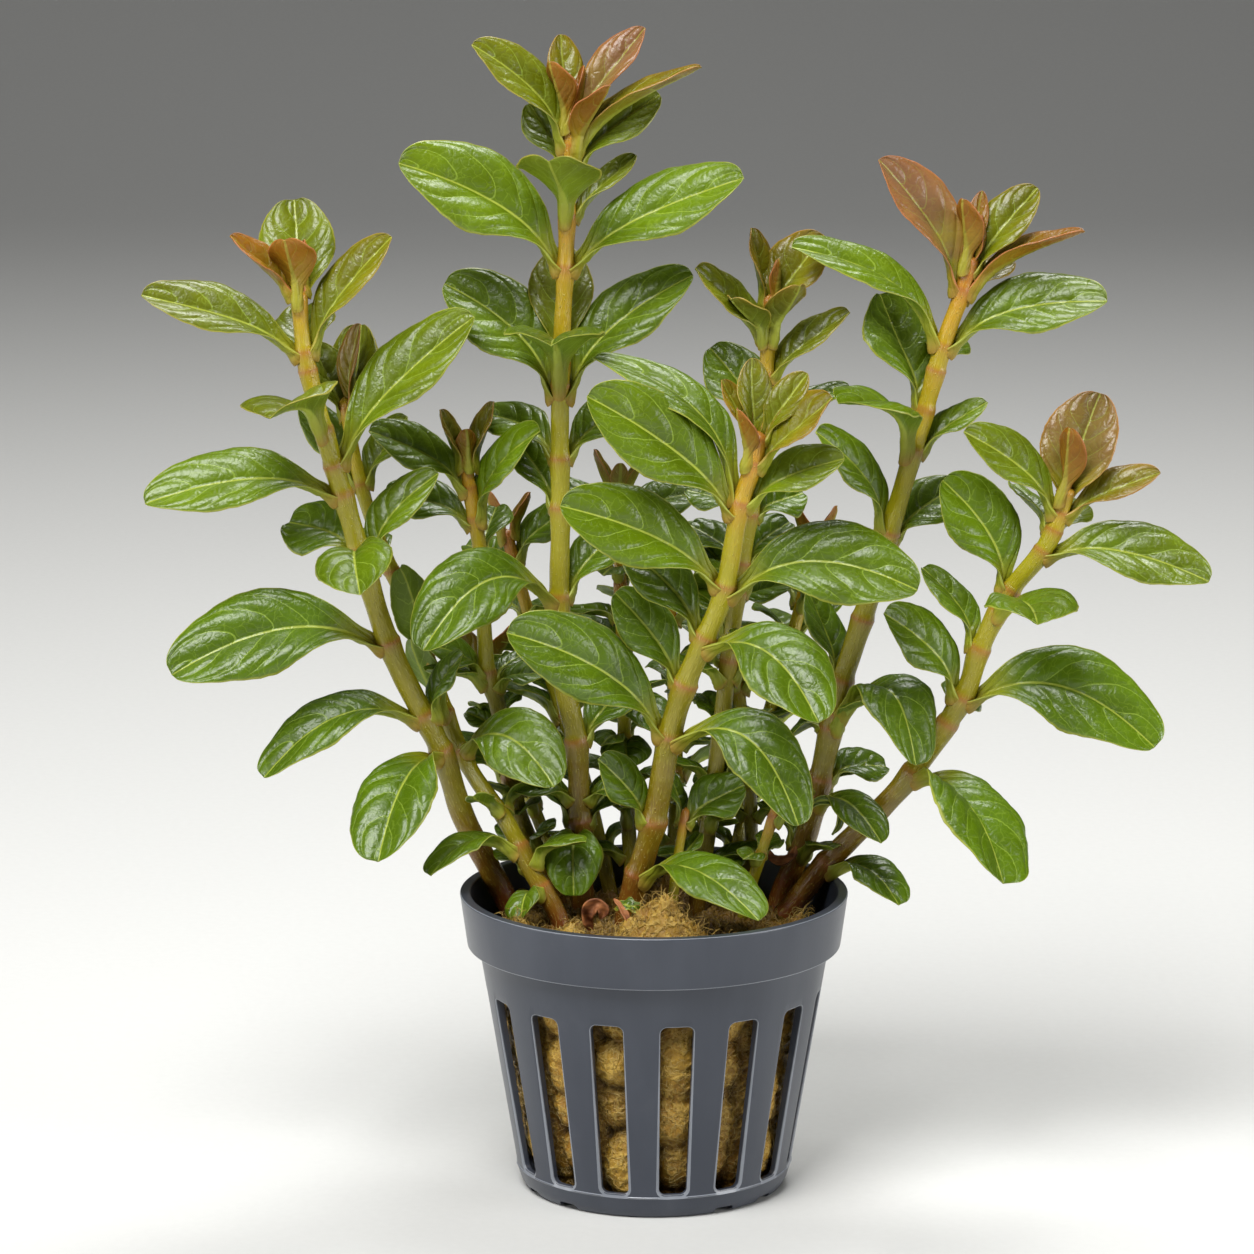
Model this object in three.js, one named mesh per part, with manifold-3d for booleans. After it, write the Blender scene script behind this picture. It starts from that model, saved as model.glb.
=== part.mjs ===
// Potted lemon bacopa: a bunch of leafy stems rooted in a rockwool plug inside a slotted net pot.
// Millimetres, Z up, origin at the centre of the pot's underside, the front of the plant towards -Y.
import * as THREE from "three";
import { mergeVertices } from "three/addons/utils/BufferGeometryUtils.js";
import Module from "manifold-3d";

const wasm = await Module();
wasm.setup();

// Net pot
const RIM_RADIUS = 27.5;
const POT_HEIGHT = 42.6;
const BAND_FOOT = 35;
const WALL_TOP_RADIUS = 24.9;
const FOOT_RADIUS = 18.9;
const WALL = 1.5;
const FLOOR = 1.4;
const INNER_FOOT_RADIUS = 18.2;
const POT_SIDES = 30;
const SLOTS = 15;
const SLOT_PHASE = 7.6;
const SLOT_ANGLE = 11.3;
const SLOT_FOOT = 3.6;
const SLOT_HEAD = 29;
const SLOT_CORNER = 0.9;
const NOTCH_WIDTH = 3;
const NOTCH_HEIGHT = 0.7;
const NOTCHED = [1, 2, 3, 6, 7, 8, 11, 12, 13];
const HUB_RADIUS = 9;
const DRAIN_WIDTH = 2.2;
const DRAIN_OUTER = 15;
const DRAIN_EVERY = 3;

// Section of the pot as radius and height, up its outside, over the lip and down its inside to the floor
const POT_PROFILE = [
  [0, 0], [FOOT_RADIUS - 0.8, 0], [FOOT_RADIUS, 0.35], [FOOT_RADIUS + 0.75, 1.7],
  [WALL_TOP_RADIUS, BAND_FOOT], [WALL_TOP_RADIUS + 1.6, BAND_FOOT],
  [RIM_RADIUS, POT_HEIGHT - 0.7], [RIM_RADIUS - 0.4, POT_HEIGHT],
  [RIM_RADIUS - 1.3, POT_HEIGHT], [RIM_RADIUS - 1.6, POT_HEIGHT - 0.6],
  [WALL_TOP_RADIUS + 0.1, BAND_FOOT + 0.8], [WALL_TOP_RADIUS - WALL, BAND_FOOT - 0.7],
  [INNER_FOOT_RADIUS, FLOOR], [0, FLOOR],
];

// Rockwool plug
const WOOL_TOP = 37.4;
const GAP = 0.3;
const WOOL_FOOT = FLOOR + GAP;
const WOOL_FOOT_ROUND = 2;
const WOOL_SIDES = 18;
const WOOL_LEVELS = [3, 8, 13.5, 19, 24.5, 30, 34];
const WOOL_TOP_RINGS = [0.985, 0.72, 0.36];
const LUMP_RELIEF = 0.8;
const LUMPS_AROUND = 4;
const LUMP_SHIFT = 3.94;
const SOCKET_GAP = 0.35;

// Stems and leaves
const STEM_SIDES = 5;
const NODE_SWELLING = 1.18;
const PETIOLE_THICKNESS = 1.2;
const BLADE_THICKNESS = 0.6;
const CUP_ANGLE = 16;
const BEND_PLACE = 0.42;
const OWN_LEAF_REACH = 17.2;
const BISECTIONS = 30;
const FRONT = new THREE.Vector3(0, -1, 0);

// Blade outline: place along the leaf and half width as a share of the widest
const FINE_OUTLINE = [[0, 0.15], [0.2, 0.18], [0.38, 0.74], [0.64, 1], [0.88, 0.64]];
const PLAIN_OUTLINE = [[0, 0], [0.48, 0.94], [0.84, 0.78]];

// Finishes
const POT_GREY = 0x5a5e66;
const WOOL_TAN = 0x94813f;
const STEM_GREEN = 0x8a8a35;
const LEAF_GREEN = 0x4f7f24;
const YOUNG_BRONZE = 0xa0653f;
const GREENING = 1.6;
const POT_ROUGHNESS = 0.45;
const WOOL_ROUGHNESS = 0.95;
const STEM_ROUGHNESS = 0.4;
const LEAF_ROUGHNESS = 0.35;

// Each shoot has the radius of its stem at the foot and at the tip, the route of its stem, and its leaves.
// A leaf is the height of its node, the reach of its tip from there, its width, its arch as a share of its
// length, the tilt in degrees by which its upper face is turned to the front, and its age from 0 to 1.
const SHOOTS = {
  left: {
    girth: [1.9, 1.15],
    route: [[-17.8, 7.6, 30], [-20.8, 7.8, 38.4], [-26.9, 6, 51.3], [-30.2, 4, 62], [-37.4, 2, 78],
      [-43.4, 0.5, 99], [-46, 0, 108.3], [-48.5, 0, 118.9], [-49.4, 0, 128.5]],
    leaves: [
      [127.2, [0.4, 8, 12.6], 9.6, 0.05, 0, 0.25],
      [127.2, [-1.2, -4.5, 9.5], 6.4, 0.12, 0, 0],
      [128, [-9, -1.5, 7.5], 5, 0.05, 30, 0],
      [119.5, [-22.2, -3, 9], 9.8, 0.07, 38, 0.35],
      [119.5, [12.2, 1, 16], 8.2, 0.09, 36, 0.3],
      [117, [-1, 14, 7], 9.5, 0.1, 0, 0.5],
      [108.6, [-5, -15.5, 4.6], 11.5, 0.26, 0, 0.5],
      [103.6, [20.4, 2, 19.6], 11.6, 0.08, 36, 0.6],
      [99.5, [-27.2, -4, -1.2], 12, 0.125, 38, 0.65],
      [91, [0.8, -16, -2.8], 11.4, 0.2, 0, 0.75],
      [91.5, [-10, 9, 4], 9, 0.12, 20, 0.9],
      [90, [13.4, 6.5, 7], 9, 0.26, 10, 0.7],
      [78, [-30, -6, -3.6], 14.4, 0.17, 52, 1],
      [67.3, [-22.2, -6, -7.7], 11, 0.22, 20, 1],
      [66.5, [5.4, -1.4, 9.8], 7, 0.16, 20, 1],
      [62, [-8, -17, -12], 12.4, 0.16, 10, 1],
    ],
  },
  left_rear: {
    girth: [1.5, 0.9],
    route: [[-12, 0, 29.5], [-13.3, 0, 38], [-17.3, 1, 45], [-21, 3, 52], [-27.2, 9, 60],
      [-33.3, 12.5, 76], [-41, 14, 96], [-44, 14.5, 111]],
    leaves: [
      [109.5, [2.7, -2.5, 11.5], 6, 0.06, 40, 0.2],
      [109.5, [4.8, 2.5, 9], 6, 0.08, 30, 0.6],
      [109, [-5, 3, 7.5], 5, 0.08, 20, 0.5],
      [98.5, [7.4, 2, 9.4], 7, 0.08, 30, 0.7],
      [98.5, [-8, 3, 8], 7, 0.08, 30, 0.8],
      [86, [3, 13, 5], 8, 0.12, 0, 0.9],
      [74, [5, 3, 12.5], 8, 0.1, 30, 0.9],
      [60.5, [14, -13, -2], 10.5, 0.27, 34, 0.9],
      [48.5, [-12.4, -6.5, -2.8], 6.6, 0.2, 22, 0.85],
      [42.8, [-2.6, -7, -2.2], 5.4, 0.16, 10, 0.9],
    ],
  },
  tall: {
    girth: [1.75, 1.1],
    route: [[-9.5, 10.5, 28], [-10.1, 10, 38], [-10.6, 9.5, 50], [-11, 8.8, 62], [-13, 8, 72],
      [-13.4, 7.5, 84], [-13.2, 7, 96], [-13.2, 6, 113], [-12.4, 5, 131], [-11.8, 4, 146.5],
      [-11.6, 4, 153]],
    leaves: [
      [152, [-1.8, 3.4, 10.9], 4.6, 0.05, 0, 0.2],
      [151.5, [10.3, 2.4, 11.8], 5.6, 0.05, 34, 0.1],
      [151, [-2.8, -3.4, 8.8], 5, 0.1, 0, 0],
      [147.2, [5.6, -4.2, 9.4], 5.6, 0.1, 0, 0],
      [147.8, [-13.2, -2.5, 13.7], 8, 0.14, 42, 0.35],
      [147.5, [18.2, -2, 11], 6.4, 0.1, 8, 0.2],
      [144.8, [13, 4.5, 10], 7.4, 0.06, 30, 0.4],
      [144.8, [-7, 4.5, 9.4], 6, 0.06, 30, 0.4],
      [138, [-2.4, -12, 8.6], 12.4, 0.14, 0, 0.4],
      [138, [9.8, 4, 8.8], 5.6, 0.06, 10, 0.4],
      [130.7, [-22.5, -4, 15], 13.6, 0.12, 52, 0.55],
      [130.7, [24.7, -4, 12.6], 12.4, 0.1, 42, 0.6],
      [117, [0.6, 10, 14], 8, 0.1, 0, 0.4],
      [114, [-1, -17.5, 8.2], 14.4, 0.26, 0, 0.7],
      [112.4, [-16.2, 3.5, 15], 12.4, 0.15, 46, 0.7],
      [112.4, [19, 1.5, 16.6], 11.8, 0.17, 40, 0.7],
      [103.6, [11.4, 6, 8], 8, 0.1, 30, 0.8],
      [103.6, [-11.4, 11, 5.5], 8, 0.12, 25, 0.8],
      [96.5, [-6.5, 6, 9], 6.5, 0.1, 20, 0.8],
      [83, [-18.8, -13.5, -4.5], 13, 0.32, 34, 0.95],
      [83.5, [10.6, 4, 10.5], 8, 0.1, 30, 0.9],
      [62.3, [9, 4.5, 8.5], 7.4, 0.1, 30, 1],
      [50, [6.8, 4, 6.6], 6, 0.1, 25, 1],
      [49, [-0.8, -11, -4.6], 8, 0.26, 0, 1],
      [50.5, [-6.4, 1.5, 7.6], 4.8, 0.1, 20, 1],
    ],
  },
  short_left: {
    girth: [1.5, 0.85],
    route: [[-12.5, 14.5, 29], [-14.1, 14, 38.3], [-19.2, 13.2, 50], [-22.2, 12.4, 66], [-23.8, 12, 72],
      [-24.6, 11.4, 88], [-26, 11, 97.5], [-26.6, 11, 103]],
    leaves: [
      [101.6, [-3.6, -1, 7.4], 4.2, 0.06, 20, 0.15],
      [101.6, [3.6, 0, 8.6], 4.4, 0.06, 20, 0.15],
      [102.4, [0, -1.6, 4.6], 3, 0.06, 0, 0],
      [98.4, [-14, -3.5, 8.2], 8.6, 0.08, 44, 0.75],
      [94, [9.4, -7.4, 13.8], 8.2, 0.15, 44, 0.8],
      [93.4, [-13, 3.4, 3.8], 8.2, 0.1, 30, 0.9],
      [88.5, [2, 12, 5], 7, 0.12, 0, 0.9],
      [71.5, [-9.5, -5, 5.5], 8, 0.14, 34, 1],
      [69.5, [8.4, -2, 1.4], 6, 0.16, 10, 1],
      [56, [-8, 6, 3], 6, 0.12, 0, 1],
    ],
  },
  front: {
    girth: [1.95, 1.1],
    route: [[-3, 3, 29], [-3.8, 2, 38], [0, -1, 53], [2.2, -3, 65.8], [4.3, -4.6, 73.4], [7, -6, 80],
      [9.7, -7.5, 87.5], [11.6, -10, 98.8], [13.6, -11.4, 106], [14.2, -12, 110.5]],
    leaves: [
      [109.4, [-0.8, 2, 10.8], 5, 0.05, 0, 0.15],
      [109, [-4.9, 0.5, 8.4], 3.6, 0.05, 20, 0.1],
      [109.4, [6.8, 1.4, 8.8], 4.6, 0.05, 30, 0.15],
      [106, [10.3, -4.2, 9.8], 6.6, 0.06, 30, 0.2],
      [106, [-2.4, -4, 8], 4.4, 0.1, 0, 0.1],
      [100.2, [14, -3, 6.6], 8, 0.1, 34, 0.6],
      [98.6, [-20.8, -4.5, 17], 12.6, 0.1, 48, 0.75],
      [100.2, [-20.6, 9, 17.6], 9, 0.18, 6, 0.8],
      [88, [-22.8, -5.5, 12.2], 12, 0.09, 46, 0.8],
      [87, [26.6, -4.5, 1.2], 13, 0.18, 44, 0.85],
      [80.4, [-11.6, 4.5, 12], 8.4, 0.1, 44, 0.9],
      [79.5, [15.6, -14, -8.2], 13.2, 0.22, 30, 0.95],
      [73.4, [-9.8, 3, 12.4], 8.4, 0.1, 46, 0.95],
      [65.8, [-22.6, -9, 16.4], 12.4, 0.12, 48, 0.95],
      [65.4, [17.8, -12, -9.8], 11.2, 0.34, 32, 1],
      [53, [-7.8, -3.5, 9.6], 7.6, 0.1, 44, 1],
      [45, [16.6, -17, -2.6], 10.8, 0.2, 14, 1],
    ],
  },
  centre_rear: {
    girth: [1.4, 0.95],
    route: [[5.5, 7, 29], [6.2, 8, 38], [8.5, 9, 55], [12, 9, 85], [15, 8.6, 104], [16, 8.4, 120],
      [16.2, 8.4, 126.5]],
    leaves: [
      [125, [-2, 1.6, 10.6], 5.6, 0.05, 0, 0.1],
      [125, [7.8, 1.2, 9.6], 7, 0.05, 44, 0.1],
      [120.6, [-10.3, -2, 10.2], 5.2, 0.06, 20, 0.3],
      [120.4, [-6, -6.5, 7.4], 5, 0.08, 0, 0.45],
      [120.6, [4.2, -5.4, 7.8], 5, 0.08, 0, 0.4],
      [115, [11.6, -0.5, 8.8], 6.6, 0.08, 28, 0.4],
      [107.5, [-7.4, 5, 10.6], 7.4, 0.1, 40, 0.8],
      [107, [12.4, 3, 5.8], 6.4, 0.12, 14, 0.8],
      [84, [9, 6, 7], 8, 0.12, 20, 1],
      [84, [-8, 7, 8], 8, 0.12, 20, 1],
    ],
  },
  right: {
    girth: [1.85, 1.1],
    route: [[16.5, 11, 28.5], [18.2, 12, 38], [22, 11, 48.3], [24.9, 10, 61.7], [26.6, 9.5, 70],
      [29.8, 9, 80.5], [33.2, 8, 92.5], [36.4, 7.2, 104], [40.5, 6.5, 119.5], [43, 6, 127], [44.2, 6, 132.5]],
    leaves: [
      [131, [-1.2, -3.4, 9.6], 5, 0.1, 0, 0],
      [131, [1.9, 2.8, 10], 3.4, 0.05, 0, 0.1],
      [130, [9.8, 2.4, 10.6], 7, 0.06, 36, 0.3],
      [127.4, [-10.8, -1.4, 18.6], 8.6, 0.1, 50, 0.1],
      [127.4, [16.6, -2.6, 8.6], 6, 0.11, 8, 0.1],
      [126.6, [7.4, 7, 4], 6, 0.08, 0, 0.35],
      [119.5, [-21.6, -3, 15.2], 10, 0.13, 22, 0.7],
      [119.5, [22.5, -3, 6.2], 11.2, 0.16, 42, 0.65],
      [116, [3, 11, 3], 7, 0.1, 0, 0.8],
      [110.4, [-6.6, 6.4, 15], 13, 0.08, 0, 0.85],
      [104, [-10.4, -13, 9], 11, 0.24, 0, 0.8],
      [104.6, [10.4, 3, 6.6], 6.2, 0.1, 8, 0.7],
      [92.6, [-10.6, -3.6, 15], 9, 0.16, 34, 0.85],
      [92, [10.4, 5, 6.6], 8, 0.1, 30, 0.85],
      [80, [2, 11, 4], 7.6, 0.12, 0, 0.9],
      [71, [-5, 3.6, 12.6], 9, 0.1, 10, 1],
      [66.2, [11, -12.6, -4.8], 11.6, 0.5, 10, 1],
      [56.5, [9.8, 4.6, 3.6], 8, 0.16, 20, 1],
      [53.5, [8.6, -16.4, -2.6], 6.6, 0.16, 22, 1],
    ],
  },
  far_right: {
    girth: [1.85, 1.1],
    route: [[14, 6.8, 31.5], [19.6, 7, 38.2], [25.4, 6.4, 45.7], [33, 5, 54], [37, 4.5, 59],
      [43.7, 3.5, 69.8], [46, 3, 77], [50, 2.5, 85.2], [54.3, 2, 90.8], [56.6, 2, 95.5], [57.8, 1.6, 100.5]],
    leaves: [
      [99, [5, 4.4, 14], 10.2, 0.05, 0, 0.15],
      [99, [0.2, -3.4, 10.2], 5, 0.1, 0, 0],
      [96.4, [-13.2, -2.2, 12.4], 7.8, 0.1, 42, 0.4],
      [96.6, [13.4, -2, 7], 5.8, 0.07, 30, 0.2],
      [94, [-5.4, 9, 5], 6.4, 0.1, 0, 0.7],
      [93.4, [5, 9.6, 2.6], 6.4, 0.1, 0, 0.6],
      [91, [23, -4, -4], 11.2, 0.16, 42, 0.6],
      [85.4, [-9.9, 1.4, 15.4], 10.6, 0.12, 54, 0.85],
      [82.6, [4.2, -15.4, 1], 13.6, 0.2, 28, 0.8],
      [76.8, [-8.4, 5.6, 10.6], 7, 0.14, 12, 0.9],
      [69.8, [26.6, -5.6, -6.2], 13.6, 0.25, 50, 1],
      [69.6, [-11.4, -3.8, 13], 9.6, 0.14, 44, 0.9],
      [66, [3, 11, 3], 7, 0.12, 0, 1],
      [58.7, [11.6, -14.6, -12.4], 13.4, 0.15, 10, 1],
      [45, [9.4, -8, -4], 7.2, 0.24, 24, 1],
    ],
  },
  rear_centre: {
    girth: [1.3, 0.8],
    route: [[-2.6, 11.5, 29], [-3, 13, 38], [-4, 18, 55], [-4.4, 22, 70], [-5.2, 25, 96]],
    leaves: [
      [94.5, [-3.2, 0, 7], 3, 0.06, 0, 0],
      [94.5, [3.6, 0, 6], 3, 0.06, 0, 0.1],
      [94.5, [0.4, -2.4, 5.6], 2.8, 0.06, 0, 0.3],
      [91, [12, 3, 4], 8.6, 0.12, 34, 0.9],
      [91, [-9, 6, 5], 7.6, 0.12, 10, 0.9],
      [82, [3, 13, 4], 8, 0.14, 0, 0.9],
      [72, [-9, 8, 4], 8, 0.14, 10, 1],
    ],
  },
  rear_left: {
    girth: [1.2, 0.8],
    route: [[-11.4, 17, 29], [-13, 18.4, 38], [-19, 21, 54], [-25, 24.5, 70]],
    leaves: [
      [69, [-5, 3, 7], 4.6, 0.06, 0, 0.2],
      [69, [4.6, -1, 7.4], 4.6, 0.06, 0, 0.2],
      [66, [-3, 10, 6], 7, 0.12, 0, 0.8],
      [66, [1.6, -6, 7], 6, 0.12, 0, 0.8],
      [56, [-13, 4, 3], 8, 0.16, 0, 1],
      [56, [6, 12, 2], 7.6, 0.16, 0, 1],
    ],
  },
  rear_mid: {
    girth: [1.3, 0.8],
    route: [[-5.6, 17.6, 29], [-6.4, 19.4, 38], [-11, 25, 56], [-18, 30, 76], [-21.6, 31, 89]],
    leaves: [
      [88, [-2.8, 0, 6.6], 3.6, 0.06, 0, 0.1],
      [88, [3.4, 1, 6.2], 3.6, 0.06, 0, 0.15],
      [84.6, [8.6, -1, 7.8], 8.4, 0.12, 34, 0.9],
      [84.6, [-11, 4, 4], 8, 0.12, 10, 0.9],
      [74, [4, 13, 3], 8.6, 0.14, 0, 0.9],
      [62, [-12, 4, 4], 8, 0.16, 0, 1],
      [62, [11, 8, 2], 8, 0.16, 0, 1],
    ],
  },
  rear_right: {
    girth: [1.3, 0.8],
    route: [[9.8, 17.6, 29], [11.2, 19, 38], [15, 24, 56], [21, 29, 76], [23.6, 31, 87]],
    leaves: [
      [86, [-3, 0, 6.6], 3.6, 0.06, 0, 0.1],
      [86, [3.4, 1, 6.2], 3.6, 0.06, 0, 0.15],
      [82, [-9, 0, 7], 8.4, 0.12, 34, 0.9],
      [82, [11, 4, 4], 8, 0.12, 10, 0.9],
      [72, [-3, 13, 3], 8.6, 0.14, 0, 0.9],
      [60, [12, 3, 5], 8, 0.16, 0, 1],
      [60, [-10, 10, 2], 8, 0.16, 0, 1],
    ],
  },
  rear_far: {
    girth: [1.3, 0.8],
    route: [[2.4, 18, 29], [2.8, 20, 38], [3.4, 29, 54], [3, 36, 68], [2.4, 40, 79]],
    leaves: [
      [78, [-3.2, 1, 6.4], 3.8, 0.06, 0, 0.1],
      [78, [3.4, 1.4, 6], 3.8, 0.06, 0, 0.15],
      [74, [-11, 3, 4], 8, 0.12, 0, 0.8],
      [74, [11, 3, 4], 8, 0.12, 0, 0.8],
      [64, [0.6, 13, 2], 9, 0.16, 0, 0.9],
      [53, [12, 7, 2], 8, 0.16, 0, 1],
    ],
  },
  inner_right: {
    girth: [1.2, 0.8],
    route: [[12.6, 12, 29], [14, 13.2, 38], [13.8, 15, 54], [11.8, 17.6, 70], [9.4, 20, 84]],
    leaves: [
      [82.6, [-3, 0, 6.4], 3.6, 0.06, 0, 0.2],
      [82.6, [3.4, 0.4, 6], 3.6, 0.06, 0, 0.2],
      [79, [-2.4, -7, 8], 7, 0.12, 0, 0.8],
      [79, [3, 11, 4], 8, 0.12, 0, 0.8],
      [68, [9.4, 2.4, 7], 7.6, 0.12, 20, 1],
    ],
  },
  front_sprig: {
    girth: [0.95, 0.6],
    route: [[2, 0.4, 32], [2.4, 0.6, 38], [3.4, 1.8, 47], [4.6, 3, 54]],
    leaves: [
      [52, [8.6, 2.6, 4.6], 8.4, 0.1, 50, 1],
      [52, [-2, 4, 6], 4, 0.1, 0, 0.9],
      [46, [3.4, 3.6, 3.6], 3.6, 0.1, 0, 0.9],
    ],
  },
  right_sprig: {
    girth: [1, 0.7],
    route: [[12.2, 3.4, 31], [12.8, 3.2, 38], [15.2, 3, 47], [18.4, 3, 57]],
    leaves: [
      [56, [2, -1, 6], 3.6, 0.06, 20, 0.8],
      [52.5, [5, -1, 2.4], 3.4, 0.12, 20, 0.8],
      [47, [-2.6, -5, 0.6], 4.4, 0.16, 0, 0.9],
      [47, [1.6, 5.4, 2], 4, 0.12, 0, 0.9],
    ],
  },
};

// Lumps on top of the wool: place, height and spread
const WOOL_LUMPS = [
  [0, -15.5, 6.6, 4.2], [-11.5, -14, 3, 3.4], [9.5, -19, 2.4, 3.4], [17, -13.5, 2.6, 3.2],
  [-19.5, -5.5, 2.4, 3.2], [22, -1, 2.2, 3], [-6, -20, 2, 3], [4, 20, 2.4, 4], [-19, 12, 2, 3.4],
];

const vector = (point) => new THREE.Vector3(...point);

// A closed body through rings of points; a ring of one point closes it in a tip, a longer one in a flat end.
function loft(rings) {
  const positions = [];
  const faces = [];
  const starts = [];
  for (const ring of rings) {
    starts.push(positions.length / 3);
    ring.forEach((point) => positions.push(point.x, point.y, point.z));
  }
  for (let level = 0; level + 1 < rings.length; level += 1) {
    const count = Math.max(rings[level].length, rings[level + 1].length);
    const place = (row, k) => starts[row] + (k % rings[row].length);
    for (let k = 0; k < count; k += 1) {
      if (rings[level].length > 1) {
        faces.push(place(level, k), place(level, k + 1), place(level + 1, k));
      }
      if (rings[level + 1].length > 1) {
        faces.push(place(level, k + 1), place(level + 1, k + 1), place(level + 1, k));
      }
    }
  }
  const last = rings.length - 1;
  for (let k = 1; k + 1 < rings[0].length; k += 1) {
    faces.push(starts[0], starts[0] + k + 1, starts[0] + k);
  }
  for (let k = 1; k + 1 < rings[last].length; k += 1) {
    faces.push(starts[last], starts[last] + k, starts[last] + k + 1);
  }
  const geometry = new THREE.BufferGeometry();
  geometry.setAttribute("position", new THREE.Float32BufferAttribute(positions, 3));
  geometry.setIndex(faces);
  return geometry;
}

// The solid that a closed geometry bounds, for joining and cutting.
function solidOf(geometry) {
  const bare = geometry.clone();
  bare.deleteAttribute("normal");
  bare.deleteAttribute("uv");
  const merged = mergeVertices(bare, 1e-4);
  return new wasm.Manifold(new wasm.Mesh({
    numProp: 3,
    vertProperties: new Float32Array(merged.attributes.position.array),
    triVerts: new Uint32Array(merged.index.array),
  }));
}

function geometryOf(solid) {
  const mesh = solid.getMesh();
  const geometry = new THREE.BufferGeometry();
  geometry.setAttribute("position", new THREE.Float32BufferAttribute(mesh.vertProperties, 3));
  geometry.setIndex(new THREE.Uint32BufferAttribute(mesh.triVerts, 1));
  return geometry;
}

// Radius of the pot's inside at a height.
function innerRadius(z) {
  const share = (z - FLOOR) / (BAND_FOOT - FLOOR);
  return THREE.MathUtils.lerp(INNER_FOOT_RADIUS, WALL_TOP_RADIUS - WALL, Math.min(share, 1));
}

// One slot's cutter: a tapered window with cut corners, pushed out through the wall along +Y.
function slotCutter() {
  const half = THREE.MathUtils.degToRad(SLOT_ANGLE / 2);
  const outer = (z) => THREE.MathUtils.lerp(FOOT_RADIUS, WALL_TOP_RADIUS, z / BAND_FOOT);
  const low = outer(SLOT_FOOT) * Math.sin(half);
  const high = outer(SLOT_HEAD) * Math.sin(half);
  const window = new THREE.Shape([
    new THREE.Vector2(-low + SLOT_CORNER, SLOT_FOOT),
    new THREE.Vector2(low - SLOT_CORNER, SLOT_FOOT),
    new THREE.Vector2(low, SLOT_FOOT + SLOT_CORNER),
    new THREE.Vector2(high, SLOT_HEAD - SLOT_CORNER),
    new THREE.Vector2(high - SLOT_CORNER, SLOT_HEAD),
    new THREE.Vector2(-high + SLOT_CORNER, SLOT_HEAD),
    new THREE.Vector2(-high, SLOT_HEAD - SLOT_CORNER),
    new THREE.Vector2(-low, SLOT_FOOT + SLOT_CORNER),
  ]);
  const geometry = new THREE.ExtrudeGeometry(window, { depth: RIM_RADIUS, bevelEnabled: false });
  geometry.rotateX(Math.PI / 2);
  return solidOf(geometry);
}

// A bar towards the front from the hub out to a radius, up to a height, for grooves and drain slots.
function radialBar(width, height, outer) {
  const geometry = new THREE.BoxGeometry(width, outer - HUB_RADIUS, 2 * height);
  geometry.translate(0, -(outer + HUB_RADIUS) / 2, 0);
  return solidOf(geometry);
}

function netPot() {
  const lathe = new THREE.LatheGeometry(POT_PROFILE.map(([r, z]) => new THREE.Vector2(r, z)), POT_SIDES);
  lathe.rotateX(Math.PI / 2);
  const pitch = 360 / SLOTS;
  lathe.rotateZ(THREE.MathUtils.degToRad(SLOT_PHASE - 90 + pitch / 4));
  let pot = solidOf(lathe);
  const slot = slotCutter();
  const groove = radialBar(NOTCH_WIDTH, NOTCH_HEIGHT, RIM_RADIUS);
  const drain = radialBar(DRAIN_WIDTH, 2 * FLOOR, DRAIN_OUTER);
  for (let k = 0; k < SLOTS; k += 1) {
    const turn = SLOT_PHASE + k * pitch;
    pot = pot.subtract(slot.rotate([0, 0, turn]));
    if (NOTCHED.includes(k)) pot = pot.subtract(groove.rotate([0, 0, turn]));
    if (k % DRAIN_EVERY === 0) pot = pot.subtract(drain.rotate([0, 0, turn]));
  }
  return geometryOf(pot);
}

// Height of the wool's top at a place, with its lumps.
function woolTop(x, y) {
  return WOOL_LUMPS.reduce((z, [cx, cy, height, spread]) => {
    const away = ((x - cx) ** 2 + (y - cy) ** 2) / spread ** 2;
    return z + height * Math.exp(-away);
  }, WOOL_TOP);
}

function woolPlug(stems) {
  const rings = [];
  const around = (radius, height) => Array.from({ length: WOOL_SIDES }, (_, k) => {
    const angle = (2 * Math.PI * k) / WOOL_SIDES;
    const r = radius(angle);
    const x = r * Math.cos(angle);
    const y = r * Math.sin(angle);
    return new THREE.Vector3(x, y, height(x, y));
  });
  rings.push(around(() => innerRadius(WOOL_FOOT) - WOOL_FOOT_ROUND, () => WOOL_FOOT));
  WOOL_LEVELS.forEach((z, level) => {
    const lump = (angle) => LUMP_RELIEF * (Math.cos(LUMPS_AROUND * angle + LUMP_SHIFT * level) - 1);
    rings.push(around((angle) => innerRadius(z) - 2 * GAP + lump(angle), () => z));
  });
  for (const share of WOOL_TOP_RINGS) {
    rings.push(around(() => (WALL_TOP_RADIUS - WALL - GAP) * share, woolTop));
  }
  rings.push([new THREE.Vector3(0, 0, woolTop(0, 0))]);
  return stems.reduce((plug, stem) => plug.subtract(stem), solidOf(loft(rings)));
}

// Place on a stem's curve at a height, with its direction there.
function stemAt(curve, height) {
  let low = 0;
  let high = 1;
  for (let step = 0; step < BISECTIONS; step += 1) {
    const middle = (low + high) / 2;
    if (curve.getPoint(middle).z < height) low = middle;
    else high = middle;
  }
  return { place: curve.getPoint(low), along: curve.getTangent(low), share: low };
}

// A ring around the stem; its first corner faces the front of the plant.
function stemRing(curve, share, radius) {
  const centre = curve.getPoint(share);
  const along = curve.getTangent(share);
  const front = FRONT.clone().addScaledVector(along, -FRONT.dot(along)).normalize();
  const side = new THREE.Vector3().crossVectors(along, front);
  return Array.from({ length: STEM_SIDES }, (_, k) => {
    const angle = (2 * Math.PI * k) / STEM_SIDES;
    return centre.clone()
      .addScaledVector(front, radius * Math.cos(angle))
      .addScaledVector(side, radius * Math.sin(angle));
  });
}

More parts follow.
